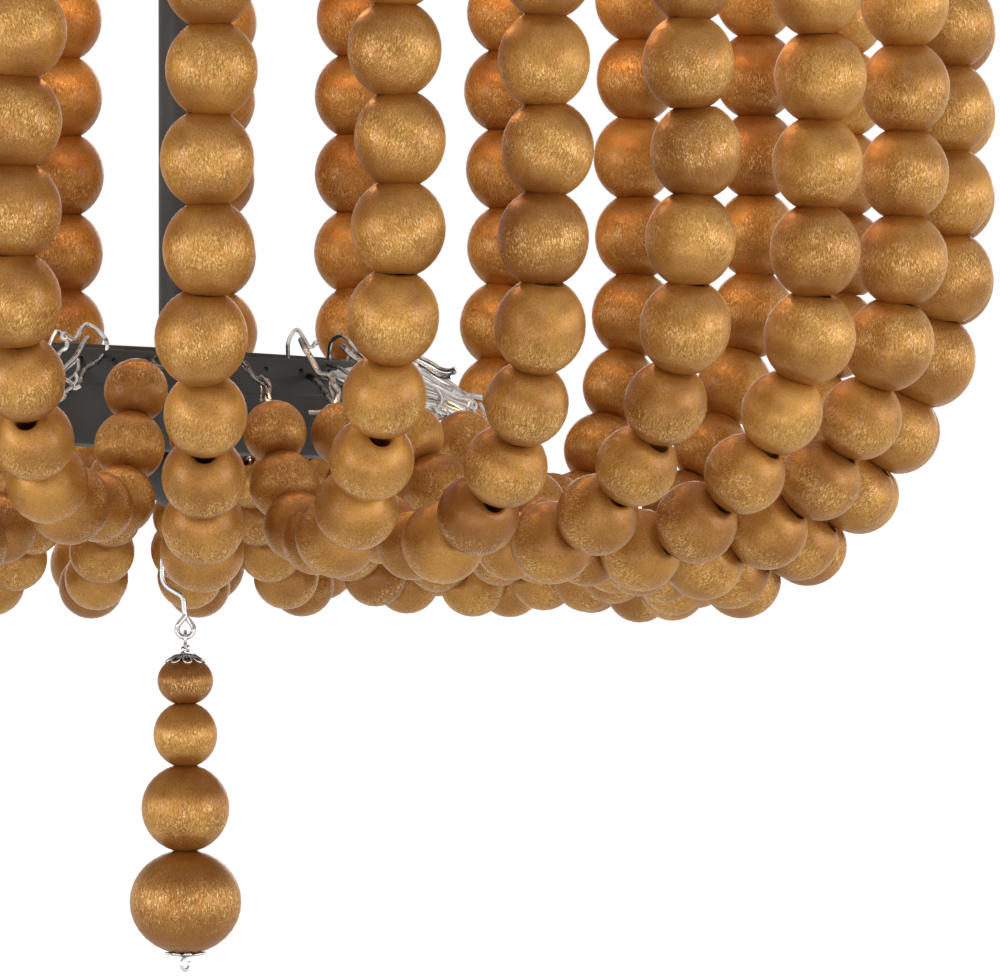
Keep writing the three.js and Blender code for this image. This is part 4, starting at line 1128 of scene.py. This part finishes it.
TAIL_CENTRE = top - 0.5 - 0.3 - 0.5 - PIN_EYE_RADIUS
pin_path = arc((0, 0, PIN_EYE), TOWARDS, UP, PIN_EYE_RADIUS, 230, -80, 24)
pin_path += [(0, 0.1, PIN_EYE - 2.2), (0, 0, CAP_TOP + 0.8), (0, 0, CAP_TOP - 20),
             (0, 0, TAIL_CENTRE + 2.6)]
pin_path += arc((0, 0, TAIL_CENTRE), (0.6, 0.8, 0), UP, PIN_EYE_RADIUS, 80, 380, 20)
neck = [(0.95 * math.cos(a), 0.95 * math.sin(a), PIN_EYE - 2.3 - 0.32 * a / 1.5)
        for a in np.linspace(0, math.tau * 2.2, 40)]
spur = [neck[-1], (1.9, -0.4, neck[-1][2] + 0.3), (2.9, -0.8, neck[-1][2] + 0.5)]
drop_wire = joined(wire(pin_path, 0.48, 10), wire(neck, 0.36, 8), wire(spur, 0.34, 8))
add_wire("drop_wire", drop_wire, "drop_pin", "drop")
print("drop ends", round(TAIL_CENTRE - 2.3 - BASE_LINE, 1), "mm from the base line")

# %% [markdown]
# ## The lamps
#
# Four candle lamps stand on curved arms inside the basket. The photograph only hints at them:
# the beads behind are lit orange from within, and more strongly towards the top. The bulbs
# give off a warm light here too, so those beads get their glow from the same place.

# %% Lamp body, arms, sleeves and bulbs
LAMPS, LAMP_REACH, FIRST_LAMP = 4, 70, 45  # how many, how far out, and the first one's angle
LAMP_MIDDLE = BASE_LINE + 200
CUP_TOP = LAMP_MIDDLE - 10 + 6
body = above(LAMP_MIDDLE, [(7.8, -9), (15.4, -9), (22, -4.5), (22, 4.5), (15.4, 9), (7.8, 9)])
parts = [turned(rounded(body, 1.0), 64, ring=True)]
lamp_cup = turned(above(CUP_TOP, [(0, -10), (4.6, -10), (5, -9.6), (5.2, -6), (9, -5), (13, -3),
                                  (14.8, -1), (15, -0.2), (14.4, 0), (0, 0)]), 48)
arm_path = [(LAMP_REACH * r, 0, LAMP_MIDDLE - s * 20) for r, s in (
    (0.24, 0), (0.5, 0.6), (0.76, 1), (0.94, 0.9), (1, 0.5))]
arm = wire(smooth_path(arm_path, 8), 4, 16)
lamp_angles = [FIRST_LAMP + 360 // LAMPS * i for i in range(LAMPS)]
for angle in lamp_angles:
    parts.append(moved(arm, degrees=angle))
    parts.append(moved(moved(lamp_cup, (LAMP_REACH, 0, 0)), degrees=angle))
add_iron("lamp_arms", joined(*parts), "lamp_body")

SLEEVE_BOTTOM = CUP_TOP + 0.3
SLEEVE_TOP = SLEEVE_BOTTOM + 36
SOCKET_FLOOR = SLEEVE_TOP - 22
sleeve = turned(above(SLEEVE_BOTTOM, [(0, 0), (10.6, 0), (11, 0.4)])
                + above(SLEEVE_TOP, [(11, -0.6), (10.4, 0), (6.9, 0), (6.3, -0.6)])
                + above(SOCKET_FLOOR, [(6.3, 0), (0, 0)]), 40)
glass_side = smooth_path([(6.2, 1.5), (7.4, 3.5), (15.0, 18.2), (17.4, 28.0), (16.1, 39.2),
                          (10.9, 56.0), (5.6, 66.0), (2.0, 69.4)], 5)
glass = turned(above(SLEEVE_TOP, [(0, 1.0), (6.2, 1.0), *glass_side, (0, 70.2)]), 40)
thread = above(SOCKET_FLOOR, [(0, 0.3), (3, 0.3), (5.4, 2.2)])
for i in range(8):
    thread += [(6.0, SOCKET_FLOOR + 3 + 2.2 * i), (5.5, SOCKET_FLOOR + 4.1 + 2.2 * i)]
thread += above(SLEEVE_TOP, [(6.0, -0.6), (6.1, 1.0), (0, 1.0)])
screw = turned(thread, 32)
for i, angle in enumerate(map(math.radians, lamp_angles)):
    offset = (LAMP_REACH * math.cos(angle), LAMP_REACH * math.sin(angle), 0)
    add_piece(f"sleeve_{i + 1}", moved(sleeve, offset), candle_ivory, "chandelier", "sleeve",
              [f"candle_sleeve_{i + 1}"])
    bulb = [f"candle_bulb_{i + 1}"]
    add_piece(f"bulb_{i + 1}", moved(glass, offset), lamp_glass, "chandelier", "bulb_glass",
              bulb, sharp=60)
    add_piece(f"bulb_screw_{i + 1}", moved(screw, offset), screw_brass, "chandelier",
              "bulb_glass", bulb)
print(LAMPS, "lamps made")

# %% [markdown]
# ## Chain, loops and ceiling rose
#
# The chandelier hangs from a short chain. Links and loops are bent from round bar, so they are
# paths with a round section. The rose is a spun cover that hides the bar screwed to the
# ceiling, and that bar's threaded stud carries the whole weight.

# %% Chain and rose
LINK_WIRE, LOOP_RADIUS = 2.2, 11.0
LINK_HALF, LINK_END = 17, 9  # half its length and its end's radius, at the wire's middle
LINK_PITCH, LINK_OVERLAP = 29.2, 4.8
ROSE_LOOP_TOP = -24.3
ROSE_RING = ROSE_LOOP_TOP - 14 - LOOP_RADIUS
RING_FOOT = -60.3  # the lowest point of the upper ring, at the wire's middle
TOP_BOSS = UPPER_TOP + 0.3 + 14
TOP_RING = TOP_BOSS + LOOP_RADIUS


def loop_on_boss(boss_top, ring_centre):
    """A ring on a small turned boss, with a lid at the end of the boss that the ring joins."""
    boss = turned(above(boss_top, [
        (5.2, -14), (8.4, -14), (9, -13.4), (9, -9.5), (8.3, -8.8), (8.3, -5.2), (9, -4.5),
        (9, -0.6), (8.4, 0), (5.2, 0)]), 48, ring=True)
    lid = turned(above(boss_top, [(0, -1.5), (5.4, -1.5), (5.4, 0), (0, 0)]), 24)
    ring = wire(arc((0, 0, ring_centre), ACROSS, UP, LOOP_RADIUS, 0, 352.5, 47), LINK_WIRE, 14,
                closed=True)
    if ring_centre < boss_top:
        lid = moved(lid, (0, 0, -12.5))
    return joined(boss, ring, lid)


add_iron("upper_ring", loop_on_boss(ROSE_LOOP_TOP, ROSE_RING), "rose_loop", "ceiling")
add_iron("lower_ring", loop_on_boss(TOP_BOSS, TOP_RING), "top_loop")
link_path = []
for start, side in ((0, 1), (180, -1)):
    half_ring = arc((0, 0, 0), ACROSS, UP, LINK_END, start, start + 180, 16)
    link_path += above(side * (LINK_HALF - LINK_END), half_ring)
for i in range(3):
    middle = RING_FOOT - LINK_PITCH * i + LINK_OVERLAP - LINK_HALF
    link = moved(wire(link_path, LINK_WIRE, 14, closed=True), degrees=90 if i % 2 == 0 else 0)
    add_iron(f"link_{i + 1}_wire", moved(link, (0, 0, middle)), f"chain_link_{i + 1}",
             f"link_{i + 1}")

ROSE_WALL = 1.2
rose_outer = smooth_path([(65, 0), (65, -3), (61.75, -8.25), (50, -13.5), (30, -18.75),
                          (14.3, -24)], 6)
rose_inner = [(max(r - ROSE_WALL, 5.2), min(z + ROSE_WALL, 0)) for r, z in rose_outer[::-1]]
rose = turned([*rose_outer, (5.2, -24), (5.2, -22.8), *rose_inner], 96, ring=True)
add_iron("rose_cover", rose, "ceiling_rose", "ceiling")
bar = moved(bar_shape(105, 18, 3, 0.5), (0, 0, -1.5))
stud = turned([(0, -2), (4.9, -2), (4.9, -33.6), (4.4, -34), (0, -34)], 24)
add_wire("bar_and_stud", joined(bar, stud), "mounting_bar", "ceiling")
print("chain and rose made")

# %% [markdown]
# ## Floor and background
#
# The photograph is a cut-out on white. A wide floor and the world are white wherever the
# camera, a reflection or glass looks at them, and the world lights the beads only a little.
# Near the object the floor glows less, because the lamps light it there as well. A camera
# under the floor looks through it.


# %% Floor and world
def seen_directly(tree):
    """1 for rays from the camera, from a reflection or through glass, and 0 for light."""
    rays = new_node(tree, "ShaderNodeLightPath").outputs
    either = math_node(tree, "MAXIMUM", rays["Is Camera Ray"], rays["Is Glossy Ray"])
    return math_node(tree, "MAXIMUM", either, rays["Is Transmission Ray"])


FLOOR_HEIGHT, FLOOR_HALF = -1.15, 30  # in metres
floor_mesh = bpy.data.meshes.new("floor")
floor_mesh.from_pydata([(x * FLOOR_HALF, y * FLOOR_HALF, FLOOR_HEIGHT) for x, y in (
    (-1, -1), (1, -1), (1, 1), (-1, 1))], [], [(0, 1, 2, 3)])
floor = new_object("floor", floor_mesh)
pale_floor = bpy.data.materials.new("pale_floor")
pale_floor.use_nodes = True
tree = pale_floor.node_tree
tree.nodes.clear()
away = new_node(tree, "ShaderNodeTexCoord").outputs["Object"]
length = vector_node(tree, "LENGTH", away).node.outputs["Value"]
far = ramp_between(tree, length, 2.5, 6.5)
lit = new_node(tree, "ShaderNodeBsdfDiffuse", {"Color": (0.8, 0.8, 0.8, 1)})
glow = new_node(tree, "ShaderNodeEmission", {"Strength": math_node(
    tree, "MULTIPLY", seen_directly(tree), math_node(tree, "MULTIPLY_ADD", far, 0.3, 0.7))})
both = new_node(tree, "ShaderNodeAddShader", {0: lit.outputs[0], 1: glow.outputs[0]})
through = new_node(tree, "ShaderNodeMixShader", {
    0: new_node(tree, "ShaderNodeNewGeometry").outputs["Backfacing"], 1: both.outputs[0],
    2: new_node(tree, "ShaderNodeBsdfTransparent").outputs[0]})
new_node(tree, "ShaderNodeOutputMaterial", {"Surface": through.outputs[0]})
floor_mesh.materials.append(pale_floor)

world = bpy.data.worlds.new("studio")
world.use_nodes = True
tree = world.node_tree
fed(tree, tree.nodes["Background"], {
    "Color": (1, 1, 1, 1),
    "Strength": math_node(tree, "MULTIPLY_ADD", seen_directly(tree), 0.9, 0.1)})
bpy.context.scene.world = world
print("white floor and world")

# %% [markdown]
# ## Lamps of the studio
#
# Large soft lamps do the rest. As in the photograph, the two strongest stand to the left and
# right of the camera, so each strand shades the side of the next one. Weaker ones stand at the
# sides, behind, above and below, so that no side of the object is dark.

# %% Studio lamps
BASKET_MIDDLE = Vector((0, 0, -0.45))
# Each lamp's place, width and height, in metres, and its power in watts.
STUDIO_LAMPS = {"left_lamp": ((-2.6, -1.5, -0.25), (1.4, 1.4), 28),
                "right_lamp": ((2.6, -1.5, -0.25), (1.4, 1.4), 26),
                "left_side_lamp": ((-3.0, 0.3, -0.2), (1.4, 1.2), 4),
                "right_side_lamp": ((3.0, 0.3, -0.2), (1.4, 1.2), 8),
                "low_lamp": ((0.0, -1.5, -1.0), (1.4, 0.4), 4),
                "high_lamp": ((0.3, -1.9, 0.75), (1.2, 0.5), 3),
                "back_lamp": ((0.4, 3.4, 0.1), (2.4, 1.0), 20)}
for name, (place, size, power) in STUDIO_LAMPS.items():
    light = bpy.data.lights.new(name, "AREA")
    light.shape = "RECTANGLE"
    light.size, light.size_y = size
    light.energy = power
    lamp = new_object(name, light)
    lamp.location = place
    lamp.rotation_euler = (BASKET_MIDDLE - lamp.location).to_track_quat("-Z", "Y").to_euler()
bpy.context.scene.view_settings.view_transform = "Standard"
print(len(STUDIO_LAMPS), "lamps light the studio")
